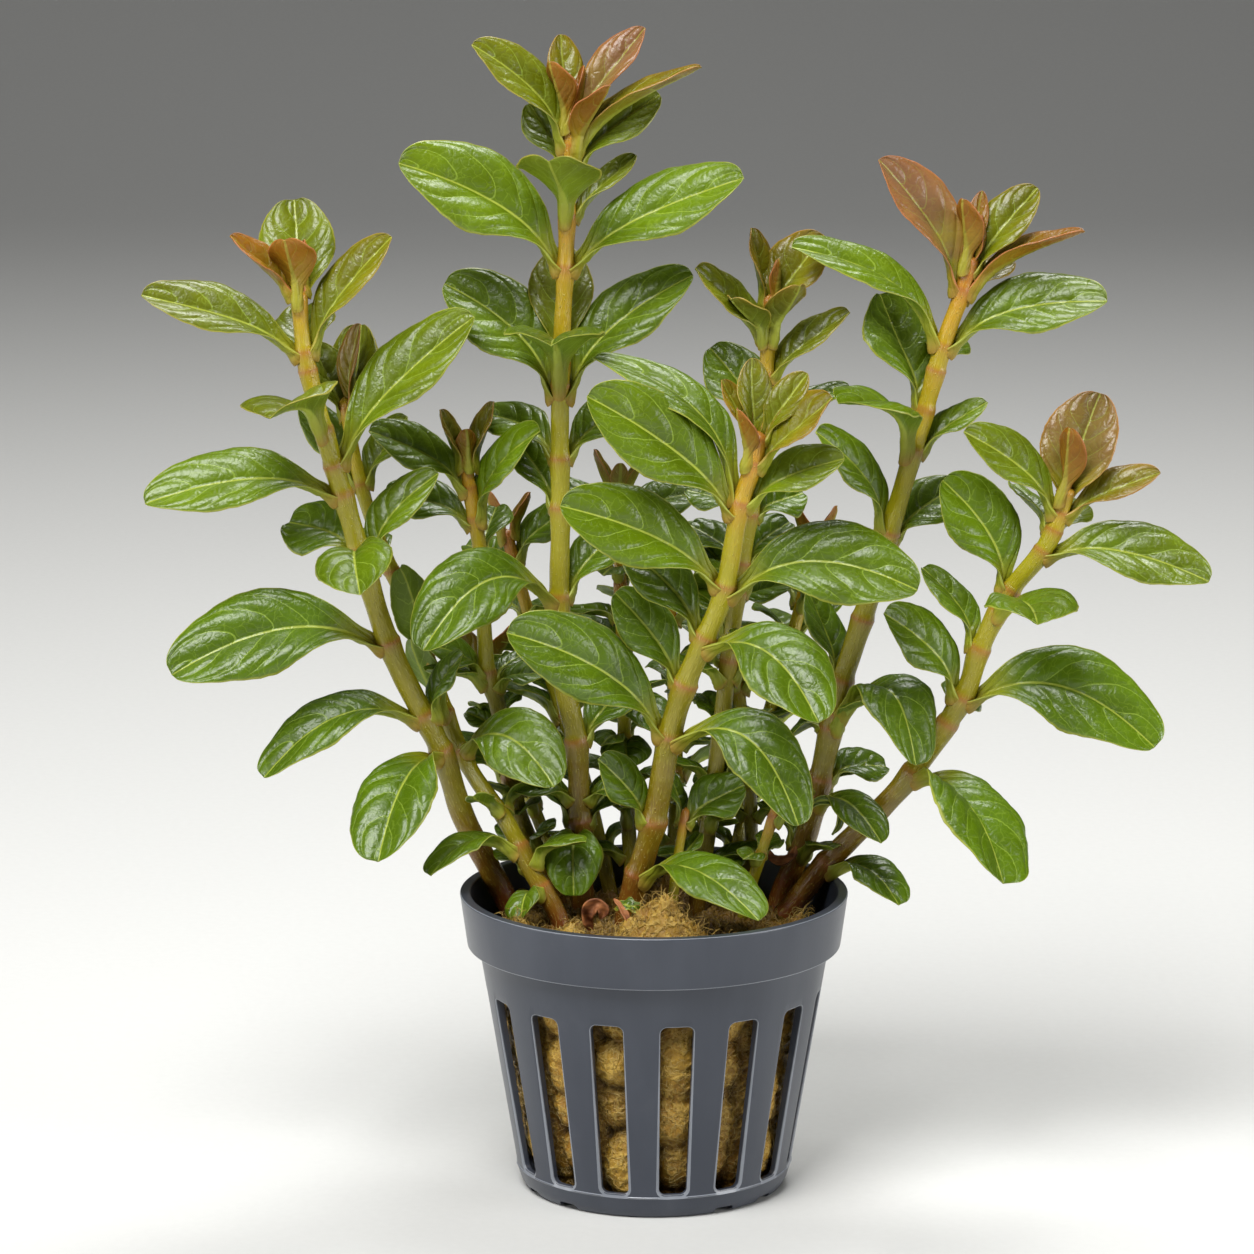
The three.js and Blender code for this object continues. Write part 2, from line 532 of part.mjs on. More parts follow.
// The stem, tapered from its foot to a tip. Extra girth makes the cutter of its socket in the wool.
function stemSolid(shoot, curve, extra) {
  const steps = shoot.route.length - 1;
  const rings = [];
  for (let k = 0; k < steps; k += 1) {
    const share = k / steps;
    rings.push(stemRing(curve, share, THREE.MathUtils.lerp(...shoot.girth, share) + extra));
  }
  rings.push([curve.getPoint(1)]);
  return solidOf(loft(rings));
}

// A leaf from its base on the stem to its tip: a channelled stalk that opens into a cupped blade.
function leafSolid(stem, leaf, clearance, outline) {
  const [, reach, width, arch, tilt] = leaf;
  const tip = stem.place.clone().add(vector(reach));
  const away = vector(reach).addScaledVector(stem.along, -vector(reach).dot(stem.along)).normalize();
  const base = stem.place.clone().addScaledVector(away, clearance);
  const chord = tip.clone().sub(base);
  const length = chord.length();
  chord.normalize();
  const upright = stem.along.clone().addScaledVector(chord, -stem.along.dot(chord)).normalize();
  const sideways = new THREE.Vector3().crossVectors(chord, upright);
  const forward = sideways.y > 0 ? -1 : 1;
  const turn = THREE.MathUtils.degToRad(tilt);
  const bend = base.clone()
    .addScaledVector(chord, BEND_PLACE * length)
    .addScaledVector(upright, 2 * arch * length);
  const face = upright.multiplyScalar(Math.cos(turn)).addScaledVector(sideways, forward * Math.sin(turn));
  const across = new THREE.Vector3().crossVectors(chord, face);
  const midrib = new THREE.QuadraticBezierCurve3(base, bend, tip);
  const cup = THREE.MathUtils.degToRad(CUP_ANGLE);
  const rings = outline.map(([share, breadth], row) => {
    const centre = midrib.getPoint(share);
    if (breadth === 0) return [centre];
    const along = midrib.getTangent(share);
    const side = across.clone().addScaledVector(along, -across.dot(along)).normalize();
    const up = new THREE.Vector3().crossVectors(side, along);
    const half = (breadth * width) / 2;
    const thick = row === 0 ? PETIOLE_THICKNESS : BLADE_THICKNESS;
    const edge = (way) => centre.clone()
      .addScaledVector(side, way * half * Math.cos(cup))
      .addScaledVector(up, half * Math.sin(cup));
    const top = centre.clone().addScaledVector(up, thick / 2);
    const under = centre.clone().addScaledVector(up, -thick / 2);
    return [edge(-1), top, edge(1), under];
  });
  rings.push([tip]);
  return solidOf(loft(rings));
}

function addMesh(group, name, geometry, colour, roughness) {
  const material = new THREE.MeshStandardMaterial({ color: colour, roughness, metalness: 0 });
  const mesh = new THREE.Mesh(geometry, material);
  mesh.name = name;
  group.add(mesh);
}

const plant = new THREE.Group();
const sockets = [];
for (const [name, shoot] of Object.entries(SHOOTS)) {
  const curve = new THREE.CatmullRomCurve3(shoot.route.map(vector), false, "catmullrom");
  let stem = stemSolid(shoot, curve, 0);
  sockets.push(stemSolid(shoot, curve, SOCKET_GAP));
  let count = 0;
  for (const leaf of shoot.leaves) {
    const node = stemAt(curve, leaf[0]);
    const radius = THREE.MathUtils.lerp(...shoot.girth, node.share) * NODE_SWELLING;
    if (vector(leaf[1]).length() < OWN_LEAF_REACH) {
      stem = stem.add(leafSolid(node, leaf, 0, PLAIN_OUTLINE));
    } else {
      count += 1;
      const blade = leafSolid(node, leaf, radius + GAP + PETIOLE_THICKNESS / 2, FINE_OUTLINE);
      const colour = new THREE.Color(YOUNG_BRONZE);
      colour.lerp(new THREE.Color(LEAF_GREEN), Math.min(1, GREENING * leaf[5]));
      addMesh(plant, `leaf_${name}_${count}`, geometryOf(blade), colour, LEAF_ROUGHNESS);
    }
  }
  addMesh(plant, `stem_${name}`, geometryOf(stem), STEM_GREEN, STEM_ROUGHNESS);
}
addMesh(plant, "rockwool_plug", geometryOf(woolPlug(sockets)), WOOL_TAN, WOOL_ROUGHNESS);
addMesh(plant, "net_pot", netPot(), POT_GREY, POT_ROUGHNESS);

export default plant;
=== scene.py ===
"""A potted lemon bacopa: leafy stems rooted in a rockwool plug inside a slotted grey net pot.

The sizes and the shoots' routes and leaves are in millimetres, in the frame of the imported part: Z up,
the origin at the centre of the pot's underside and the front of the plant towards -Y.
"""

import logging
import math
import random
from dataclasses import dataclass
from enum import Enum
from typing import ClassVar

import bpy
import numpy as np
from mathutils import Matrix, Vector, kdtree, noise

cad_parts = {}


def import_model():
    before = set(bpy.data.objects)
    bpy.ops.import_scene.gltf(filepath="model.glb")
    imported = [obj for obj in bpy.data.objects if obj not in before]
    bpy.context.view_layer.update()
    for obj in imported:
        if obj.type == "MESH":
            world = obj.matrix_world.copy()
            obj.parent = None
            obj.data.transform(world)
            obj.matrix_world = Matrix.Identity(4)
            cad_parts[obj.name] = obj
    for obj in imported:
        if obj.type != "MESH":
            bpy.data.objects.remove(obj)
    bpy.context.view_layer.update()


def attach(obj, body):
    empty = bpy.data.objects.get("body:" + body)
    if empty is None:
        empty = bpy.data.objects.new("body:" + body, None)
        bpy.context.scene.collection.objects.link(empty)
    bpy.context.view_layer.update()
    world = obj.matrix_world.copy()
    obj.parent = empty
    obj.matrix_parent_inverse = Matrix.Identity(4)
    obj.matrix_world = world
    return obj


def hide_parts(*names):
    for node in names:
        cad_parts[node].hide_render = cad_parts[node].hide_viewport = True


LOG = logging.getLogger("potted_bacopa")

MM = 0.001
SEED = 41
FRONT = np.array([0.0, -1.0, 0.0])
PLANT_MIDDLE = (0, 0, 80)

# Leaves that reach this far have a node of their own in the frame, and the others share their stem's
OWN_LEAF_REACH = 17.2

# The photograph: its side and focal length in pixels, and where its camera stood
PHOTO_SIDE = 1254
FOCAL_PIXELS = 5336
SENSOR_MM = 36.0
CAMERA_PLACE = (-3.82, -733.6, 229.6)
CAMERA_DIP = 11.48


def srgb(red: int, green: int, blue: int) -> tuple[float, float, float, float]:
    """A screen colour, each channel from 0 to 255, as a linear colour with full alpha."""
    return tuple((channel / 255) ** 2.2 for channel in (red, green, blue)) + (1.0,)


def unit(vector: np.ndarray) -> np.ndarray:
    """The vector, or each row of vectors, at length one."""
    return vector / np.maximum(np.linalg.norm(vector, axis=-1, keepdims=True), 1e-9)


def smooth_step(low: float, high: float, value: np.ndarray) -> np.ndarray:
    """A smooth rise from 0 at low to 1 at high."""
    share = np.clip((value - low) / (high - low), 0, 1)
    return share * share * (3 - 2 * share)


def bell(value: np.ndarray, spread: float) -> np.ndarray:
    """A bump of height 1 at 0 that has faded at a few spreads away."""
    return np.exp(-((value / spread) ** 2))


class Socket:
    """A node's output that takes Python's operators, each adding a Math node."""

    def __init__(self, paint: "Paint", link: bpy.types.NodeSocket) -> None:
        """Wraps an output of a node in the paint's tree."""
        self.paint = paint
        self.link = link

    def _math(self, operation: str, *values: object) -> "Socket":
        """A Math node of these values.

        Args:
            operation: the Math node's operation.
            values: sockets or numbers, in the node's order.

        Returns:
            The node's result.
        """
        inputs = dict(enumerate(values))
        return self.paint.node("ShaderNodeMath", {"operation": operation}, inputs)

    def __add__(self, other: object) -> "Socket":
        """This plus other."""
        return self._math("ADD", self, other)

    def __radd__(self, other: object) -> "Socket":
        """Other plus this."""
        return self._math("ADD", other, self)

    def __sub__(self, other: object) -> "Socket":
        """This less other."""
        return self._math("SUBTRACT", self, other)

    def __rsub__(self, other: object) -> "Socket":
        """Other less this."""
        return self._math("SUBTRACT", other, self)

    def __mul__(self, other: object) -> "Socket":
        """This times other."""
        return self._math("MULTIPLY", self, other)

    def __rmul__(self, other: object) -> "Socket":
        """Other times this."""
        return self._math("MULTIPLY", other, self)

    def __truediv__(self, other: object) -> "Socket":
        """This over other."""
        return self._math("DIVIDE", self, other)

    def __abs__(self) -> "Socket":
        """This without its sign."""
        return self._math("ABSOLUTE", self)

    def fraction(self) -> "Socket":
        """What is left of this past a whole number."""
        return self._math("FRACT", self)

    def rise(self, low: float, high: float) -> "Socket":
        """A smooth rise from 0 where this is low to 1 where it is high."""
        inputs = {"Value": self, "From Min": low, "From Max": high}
        return self.paint.node("ShaderNodeMapRange", {"interpolation_type": "SMOOTHSTEP"}, inputs)


class Paint:
    """One material and the nodes that make it."""

    def __init__(self, name: str) -> None:
        """Makes an empty material with a Principled shader.

        Args:
            name: the material's name.
        """
        self.material = bpy.data.materials.new(name)
        self.material.use_nodes = True
        self.tree = self.material.node_tree
        self.shader = self.tree.nodes["Principled BSDF"]

    def _feed(self, socket: bpy.types.NodeSocket, value: object) -> None:
        """Feeds a node's input.

        Args:
            socket: the input.
            value: a Socket to link to it, or a plain value to set it to.
        """
        if isinstance(value, Socket):
            self.tree.links.new(value.link, socket)
        else:
            socket.default_value = value

    def node(self, kind: str, settings: dict | None = None, inputs: dict | None = None,
             output: int | str = 0) -> Socket:
        """Adds any node.

        Args:
            kind: the node's type.
            settings: its own settings, set first. "stops" are a ramp's places and colours.
            inputs: values or sockets for its inputs, by name or number.
            output: the output that is wanted, by name or number.

        Returns:
            That output.
        """
        node = self.tree.nodes.new(kind)
        for name, value in (settings or {}).items():
            if name == "stops":
                self._set_stops(node.color_ramp, value)
            else:
                setattr(node, name, value)
        for name, value in (inputs or {}).items():
            self._feed(node.inputs[name], value)
        return Socket(self, node.outputs[output])

    def _set_stops(self, ramp: object, stops: list) -> None:
        """Sets a colour ramp.

        Args:
            ramp: the ramp.
            stops: places from 0 to 1 and their colours, in order.
        """
        while len(ramp.elements) < len(stops):
            ramp.elements.new(1.0)
        for element, (place, colour) in zip(ramp.elements, stops):
            element.position = place
            element.color = colour

    def attribute(self, name: str) -> Socket:
        """The value of a mesh attribute."""
        return self.node("ShaderNodeAttribute", {"attribute_name": name}, output="Fac")

    def place(self, scale: tuple[float, float, float] = (1, 1, 1)) -> Socket:
        """Object coordinates, in metres times a scale along each axis."""
        origin = self.node("ShaderNodeTexCoord", output="Object")
        return self.node("ShaderNodeMapping", None, {"Vector": origin, "Scale": scale})

    def speckle(self, scale: float, detail: float = 3, where: Socket | None = None,
                roughness: float = 0.5) -> Socket:
        """Noise from 0 to 1.

        Args:
            scale: cells in a metre, or in a unit of where.
            detail: octaves.
            where: the place it is read at, or None for Object coordinates.
            roughness: how much of the finer octaves shows.

        Returns:
            The noise.
        """
        inputs = {"Vector": where or self.place(), "Scale": scale}
        inputs |= {"Detail": detail, "Roughness": roughness}
        return self.node("ShaderNodeTexNoise", None, inputs)

    def cells(self, scale: float, feature: str = "DISTANCE_TO_EDGE", where: Socket | None = None) -> Socket:
        """A Voronoi pattern.

        Args:
            scale: cells in a metre.
            feature: the distance that is wanted, to the cells' edges or middles.
            where: the place it is read at, or None for Object coordinates.

        Returns:
            The distance, in cells.
        """
        inputs = {"Vector": where or self.place(), "Scale": scale}
        return self.node("ShaderNodeTexVoronoi", {"feature": feature}, inputs, "Distance")

    def mix(self, first: object, second: object, share: object, blend: str = "MIX") -> Socket:
        """A colour that goes from the first to the second as share goes from 0 to 1."""
        settings = {"data_type": "RGBA", "blend_type": blend}
        return self.node("ShaderNodeMix", settings, {0: share, 6: first, 7: second}, 2)

    def coats(self, colour: object, *coats: tuple) -> Socket:
        """Lays coats over a colour, one after another.

        Args:
            colour: the colour beneath.
            coats: each a tint and how much of it covers, from 0 to 1.

        Returns:
            The colour on top.
        """
        for tint, cover in coats:
            colour = self.mix(colour, tint, cover)
        return colour

    def ramp(self, share: Socket, stops: list) -> Socket:
        """The colour at share on a ramp."""
        return self.node("ShaderNodeValToRGB", {"stops": stops}, {"Fac": share})

    def bump(self, height: Socket, depth_mm: float, strength: float = 1.0) -> None:
        """Raises the surface by a height from 0 to 1 that stands for a depth."""
        inputs = {"Height": height, "Distance": depth_mm * MM, "Strength": strength}
        self.finish(Normal=self.node("ShaderNodeBump", None, inputs))

    def finish(self, **inputs: object) -> bpy.types.Material:
        """Feeds the shader.

        Args:
            inputs: values or sockets, each under its input's name with _ for a space.

        Returns:
            The material.
        """
        for name, value in inputs.items():
            self._feed(self.shader.inputs[name.replace("_", " ")], value)
        return self.material


class LeafSide(Enum):
    """The faces of a leaf that differ in finish."""

    UPPER = "upper"
    UNDER = "under"
    MARGIN = "margin"


@dataclass(frozen=True)
class LeafSkin:
    """The finish of one side of the leaves, from bronze buds to green old leaves."""

    side: LeafSide
    ages: tuple = (
        (0.0, srgb(120, 72, 8)),
        (0.2, srgb(112, 94, 12)),
        (0.42, srgb(97, 103, 5)),
        (0.7, srgb(84, 104, 0)),
        (1.0, srgb(72, 95, 0)),
    )
    blush: tuple = srgb(132, 94, 78)
    bronze: tuple = srgb(136, 80, 26)
    vein: tuple = srgb(156, 180, 70)
    midrib: tuple = srgb(164, 174, 70)
    stalk: tuple = srgb(138, 138, 32)
    knot: tuple = srgb(150, 108, 48)
    pale_green: tuple = srgb(110, 132, 30)
    amber: tuple = srgb(136, 90, 2)
    margin_green: tuple = srgb(170, 172, 70)
    margin_red: tuple = srgb(178, 108, 66)
    warp_m: float = 0.0026
    relief_mm: float = 0.24
    roughness: float = 0.43
    shine: float = 0.38

    def material(self) -> bpy.types.Material:
        """Mixes this side's finish.

        Returns:
            The material.
        """
        paint = Paint(f"leaf_{self.side.value}")
        age = paint.attribute("age")
        mottle = paint.speckle(240, 4)
        cloud = paint.speckle(150, 2).rise(0.36, 0.66)
        colour = paint.ramp(age + (mottle - 0.5) * 0.14, list(self.ages))
        rim = paint.mix(self.margin_red, self.margin_green, age.rise(0.15, 0.6))
        if self.side is LeafSide.MARGIN:
            colour = paint.mix(colour, rim, 0.35 + 0.4 * mottle)
            return paint.finish(Base_Color=colour, Roughness=0.4 + 0.1 * mottle)
        across, along = self._lengthwise(paint)
        phase = paint.attribute("vein") + (paint.speckle(300, 2) - 0.5) * 0.2
        beside = abs((phase + 0.5).fraction() - 0.5)
        margin = 1 - across.rise(0.8, 0.98)
        vein = (1 - beside.rise(0.008, 0.036)) * margin
        trough = (1 - beside.rise(0.0, 0.3)) * margin
        patches = paint.cells(620, where=self._warped(paint))
        network = patches.rise(0.0, 0.045)
        dome = patches.rise(0.0, 0.3)
        mesh = paint.cells(1500).rise(0.0, 0.5)
        grain = paint.speckle(4200, 2)
        if self.side is LeafSide.UNDER:
            pale = paint.mix(colour, self.pale_green, age.rise(0.1, 0.7) * 0.55)
            colour = paint.mix(pale, self.amber, (1 - age.rise(0.05, 0.42)) * 0.75)
        shade = 0.7 + 0.3 * mottle + 0.24 * cloud + (paint.attribute("tone") - 0.5) * 0.24 + 0.06 * mesh
        grey = paint.node("ShaderNodeCombineColor", None, {0: shade, 1: shade, 2: shade})
        lit = age.rise(0.0, 0.5) * 0.4 + 0.4
        foot = 1 - along.rise(0.06, 0.3)
        young = 1 - age.rise(0.2, 0.5)
        heart = (1 - along.rise(0.1, 0.8)) * young
        wash = across.rise(0.3, 1.0) * young
        colour = paint.coats(
            paint.mix(colour, grey, 1.0, "MULTIPLY"),
            (self.blush, paint.attribute("blush") * (0.3 + 0.5 * mottle)),
            (self.vein, (1 - network) * 0.2 * lit),
            (self.vein, vein * 0.46 * lit),
            (self.midrib, self._midrib(paint, along) * lit * 0.9),
            (self.stalk, foot * (0.35 + 0.4 * age.rise(0.1, 0.6))),
            (self.knot, (1 - along.rise(0.0, 0.09)) * 0.75),
            (self.stalk, heart * (0.15 + 0.5 * cloud)),
            (self.bronze, wash * (0.1 + 0.45 * mottle)),
            (rim, across.rise(0.95, 0.99) * 0.7),
        )
        relief = dome * 0.09 + mesh * 0.05 + (1 - trough) * 0.23 + (1 - vein) * 0.05 + grain * 0.06
        paint.bump(relief, self.relief_mm)
        rough = self.roughness + 0.16 * mottle
        return paint.finish(Base_Color=colour, Roughness=rough, Specular_IOR_Level=self.shine)

    def _lengthwise(self, paint: Paint) -> tuple[Socket, Socket]:
        """Places on the leaf, from its UV map.

        Args:
            paint: the material.

        Returns:
            How far out from the midrib and how far along the leaf a point is, each from 0 to 1.
        """
        layout = paint.node("ShaderNodeUVMap", {"uv_map": "leaf_map"})
        across = paint.node("ShaderNodeSeparateXYZ", None, {0: layout}, "X")
        along = paint.node("ShaderNodeSeparateXYZ", None, {0: layout}, "Y")
        return abs(across * 2 - 1), along

    def _warped(self, paint: Paint) -> Socket:
        """Bends Object coordinates a little, so that cells on them look grown.

        Args:
            paint: the material.

        Returns:
            The bent coordinates.
        """
        sway = paint.node("ShaderNodeTexNoise", None, {"Vector": paint.place(), "Scale": 420.0}, "Color")
        centred = paint.node("ShaderNodeVectorMath", {"operation": "SUBTRACT"}, {0: sway, 1: (0.5, 0.5, 0.5)})
        inputs = {0: centred, 1: (self.warp_m,) * 3, 2: paint.place()}
        return paint.node("ShaderNodeVectorMath", {"operation": "MULTIPLY_ADD"}, inputs)

    def _midrib(self, paint: Paint, along: Socket) -> Socket:
        """The pale midrib, which thins towards the tip."""
        width = 0.1 + 0.16 * (1 - along)
        return 1 - (paint.attribute("aside") / width).rise(0.5, 1.3)


@dataclass(frozen=True)
class StemSkin:
    """Yellow-green stem with pinkish-brown rings at the nodes, browner at the foot and the tip."""

    foot: tuple = srgb(112, 62, 26)
    low: tuple = srgb(126, 116, 20)
    middle: tuple = srgb(152, 144, 22)
    high: tuple = srgb(178, 134, 32)
    tip: tuple = srgb(158, 100, 34)
    knot: tuple = srgb(150, 92, 48)
    streak: tuple = srgb(196, 186, 84)

    def material(self) -> bpy.types.Material:
        """Mixes the stems' finish.

        Returns:
            The material.
        """
        paint = Paint("stem_skin")
        share = paint.attribute("age")
        knot = paint.attribute("knot")
        blotch = paint.speckle(160, 3)
        stops = [(0.1, self.foot), (0.3, self.low), (0.68, self.middle), (0.88, self.high), (1.0, self.tip)]
        lines = self._lines(paint)
        fleck = 1 - paint.cells(1500, "F1").rise(0.1, 0.22)
        colour = paint.coats(
            paint.ramp(share + (blotch - 0.5) * 0.22, stops),
            (self.streak, lines.rise(0.52, 0.8) * 0.42),
            (self.foot, (1 - lines).rise(0.58, 0.85) * 0.4),
            (self.knot, knot * (0.55 + 0.45 * blotch)),
            (self.streak, fleck * 0.3),
        )
        paint.bump(lines * 0.7 + blotch * 0.1 + fleck * 0.3, 0.2)
        return paint.finish(Base_Color=colour, Roughness=0.16 + 0.16 * blotch)

    def _lines(self, paint: Paint) -> Socket:
        """Fine lines along the stem.

        Args:
            paint: the material.

        Returns:
            The lines, as noise from 0 to 1.
        """
        layout = paint.node("ShaderNodeUVMap", {"uv_map": "stem_map"})
        stretched = paint.node("ShaderNodeMapping", None, {"Vector": layout, "Scale": (26, 5, 1)})
        return paint.speckle(1.6, 4, stretched)


@dataclass(frozen=True)
class PotPlastic:
    """Satin slate-grey moulded plastic with faint flow lines and scuffs, and a painted highlight along its
    edges.
    """

    grey: tuple = srgb(54, 58, 67)
    light: tuple = srgb(63, 67, 76)
    dust: tuple = srgb(84, 84, 84)
    painted_edge_highlight: tuple = srgb(136, 140, 147)

    def material(self) -> bpy.types.Material:
        """Mixes the pot's finish.

        Returns:
            The material.
        """
        paint = Paint("pot_plastic")
        flow = paint.speckle(1, 4, paint.place((190, 190, 22)))
        grain = paint.speckle(3600, 2)
        scuff = paint.speckle(90, 5, roughness=0.65)
        colour = paint.coats(
            self.grey,
            (self.light, flow.rise(0.35, 0.7) * 0.5 + scuff.rise(0.5, 0.75) * 0.25),
            (self.dust, scuff.rise(0.58, 0.8) * 0.2),
            # Painted highlight: a pale grey on the slots' bevels and the band's corners, where light catches
            # the edges
            (self.painted_edge_highlight, paint.attribute("edge") * (0.4 + 0.6 * scuff)),
        )
        paint.bump(grain * 0.6 + flow * 0.4, 0.02, 0.7)
        return paint.finish(Base_Color=colour, Roughness=0.2 + 0.18 * scuff + 0.05 * grain)


@dataclass(frozen=True)
class RockwoolFinish:
    """Matt tan mineral fibre with roots, with painted shade in its gaps and hollows and painted light on its
    raised lumps.
    """

    # The gap colour is painted shade for the recesses between the lumps
    gap: tuple = srgb(52, 40, 8)
    low: tuple = srgb(118, 86, 14)
    high: tuple = srgb(172, 134, 42)
    pale: tuple = srgb(198, 168, 86)
    stain: tuple = srgb(140, 94, 10)

    def material(self) -> bpy.types.Material:
        """Mixes the plug's finish.

        Returns:
            The material.
        """
        paint = Paint("rockwool_fibre")
        fluff = paint.attribute("fluff")
        warp = paint.place((620, 620, 620))
        strands = paint.speckle(1, 5, paint.place((1700, 1700, 700)), 0.7)
        curls = 1 - abs(paint.speckle(0.9, 3, warp) * 2 - 1).rise(0.0, 0.22)
        tangle = paint.speckle(1500, 5, roughness=0.7)
        patch = paint.speckle(110, 2)
        # Painted shade and light: the level recorded on the plug darkens the wool where its surface falls
        # back and lightens it, with pale curls, where it stands out
        level = fluff * 0.8 + (strands - 0.5) * 0.5 + (tangle - 0.5) * 0.3
        stops = [(0.04, self.gap), (0.4, self.low), (0.9, self.high)]
        colour = paint.coats(
            paint.ramp(level, stops),
            (self.stain, patch.rise(0.45, 0.7) * 0.5),
            (self.pale, curls * 0.4 * fluff.rise(0.1, 0.7)),
        )
        paint.bump(strands * 0.5 + tangle * 0.5 + curls * 0.5, 0.4)
        return paint.finish(Base_Color=colour, Roughness=0.32 + 0.3 * tangle)


@dataclass(frozen=True)
class FibreFinish:
    """Loose fibres and fine hairs, a little different along each."""

    name: str
    dark: tuple
    light: tuple

    def material(self) -> bpy.types.Material:
        """Mixes the fibres' finish.

        Returns:
            The material.
        """
        paint = Paint(self.name)
        patch = paint.speckle(420, 3)
        fine = paint.speckle(5200, 2)
        paint.bump(fine, 0.02)
        colour = paint.mix(self.dark, self.light, patch.rise(0.3, 0.7))
        return paint.finish(Base_Color=colour, Roughness=0.62 + 0.2 * fine)


@dataclass(frozen=True)
class LitterFinish:
    """Dry brown leaf and stem scraps that lie on the wool."""

    dark: tuple = srgb(84, 42, 14)
    light: tuple = srgb(176, 112, 62)

    def material(self) -> bpy.types.Material:
        """Mixes the scraps' finish.

        Returns:
            The material.
        """
        paint = Paint("dry_scraps")
        streaks = paint.speckle(1, 4, paint.place((380, 380, 900)), 0.5)
        paint.bump(streaks, 0.1)
        colour = paint.mix(self.dark, self.light, streaks.rise(0.3, 0.72))
        return paint.finish(Base_Color=colour, Roughness=0.55 + 0.25 * streaks)


@dataclass(frozen=True)
class StudioPaper:
    """The plain pale floor."""

    tint: tuple = srgb(204, 204, 201)
    shade: tuple = srgb(199, 199, 196)

    def material(self) -> bpy.types.Material:
        """Mixes the floor's finish.

        Returns:
            The material.
        """
        paint = Paint("studio_paper")
        tooth = paint.speckle(700, 3)
        paint.bump(tooth, 0.02, 0.3)
        colour = paint.mix(self.tint, self.shade, tooth)
        return paint.finish(Base_Color=colour, Roughness=0.85 + 0.05 * tooth)


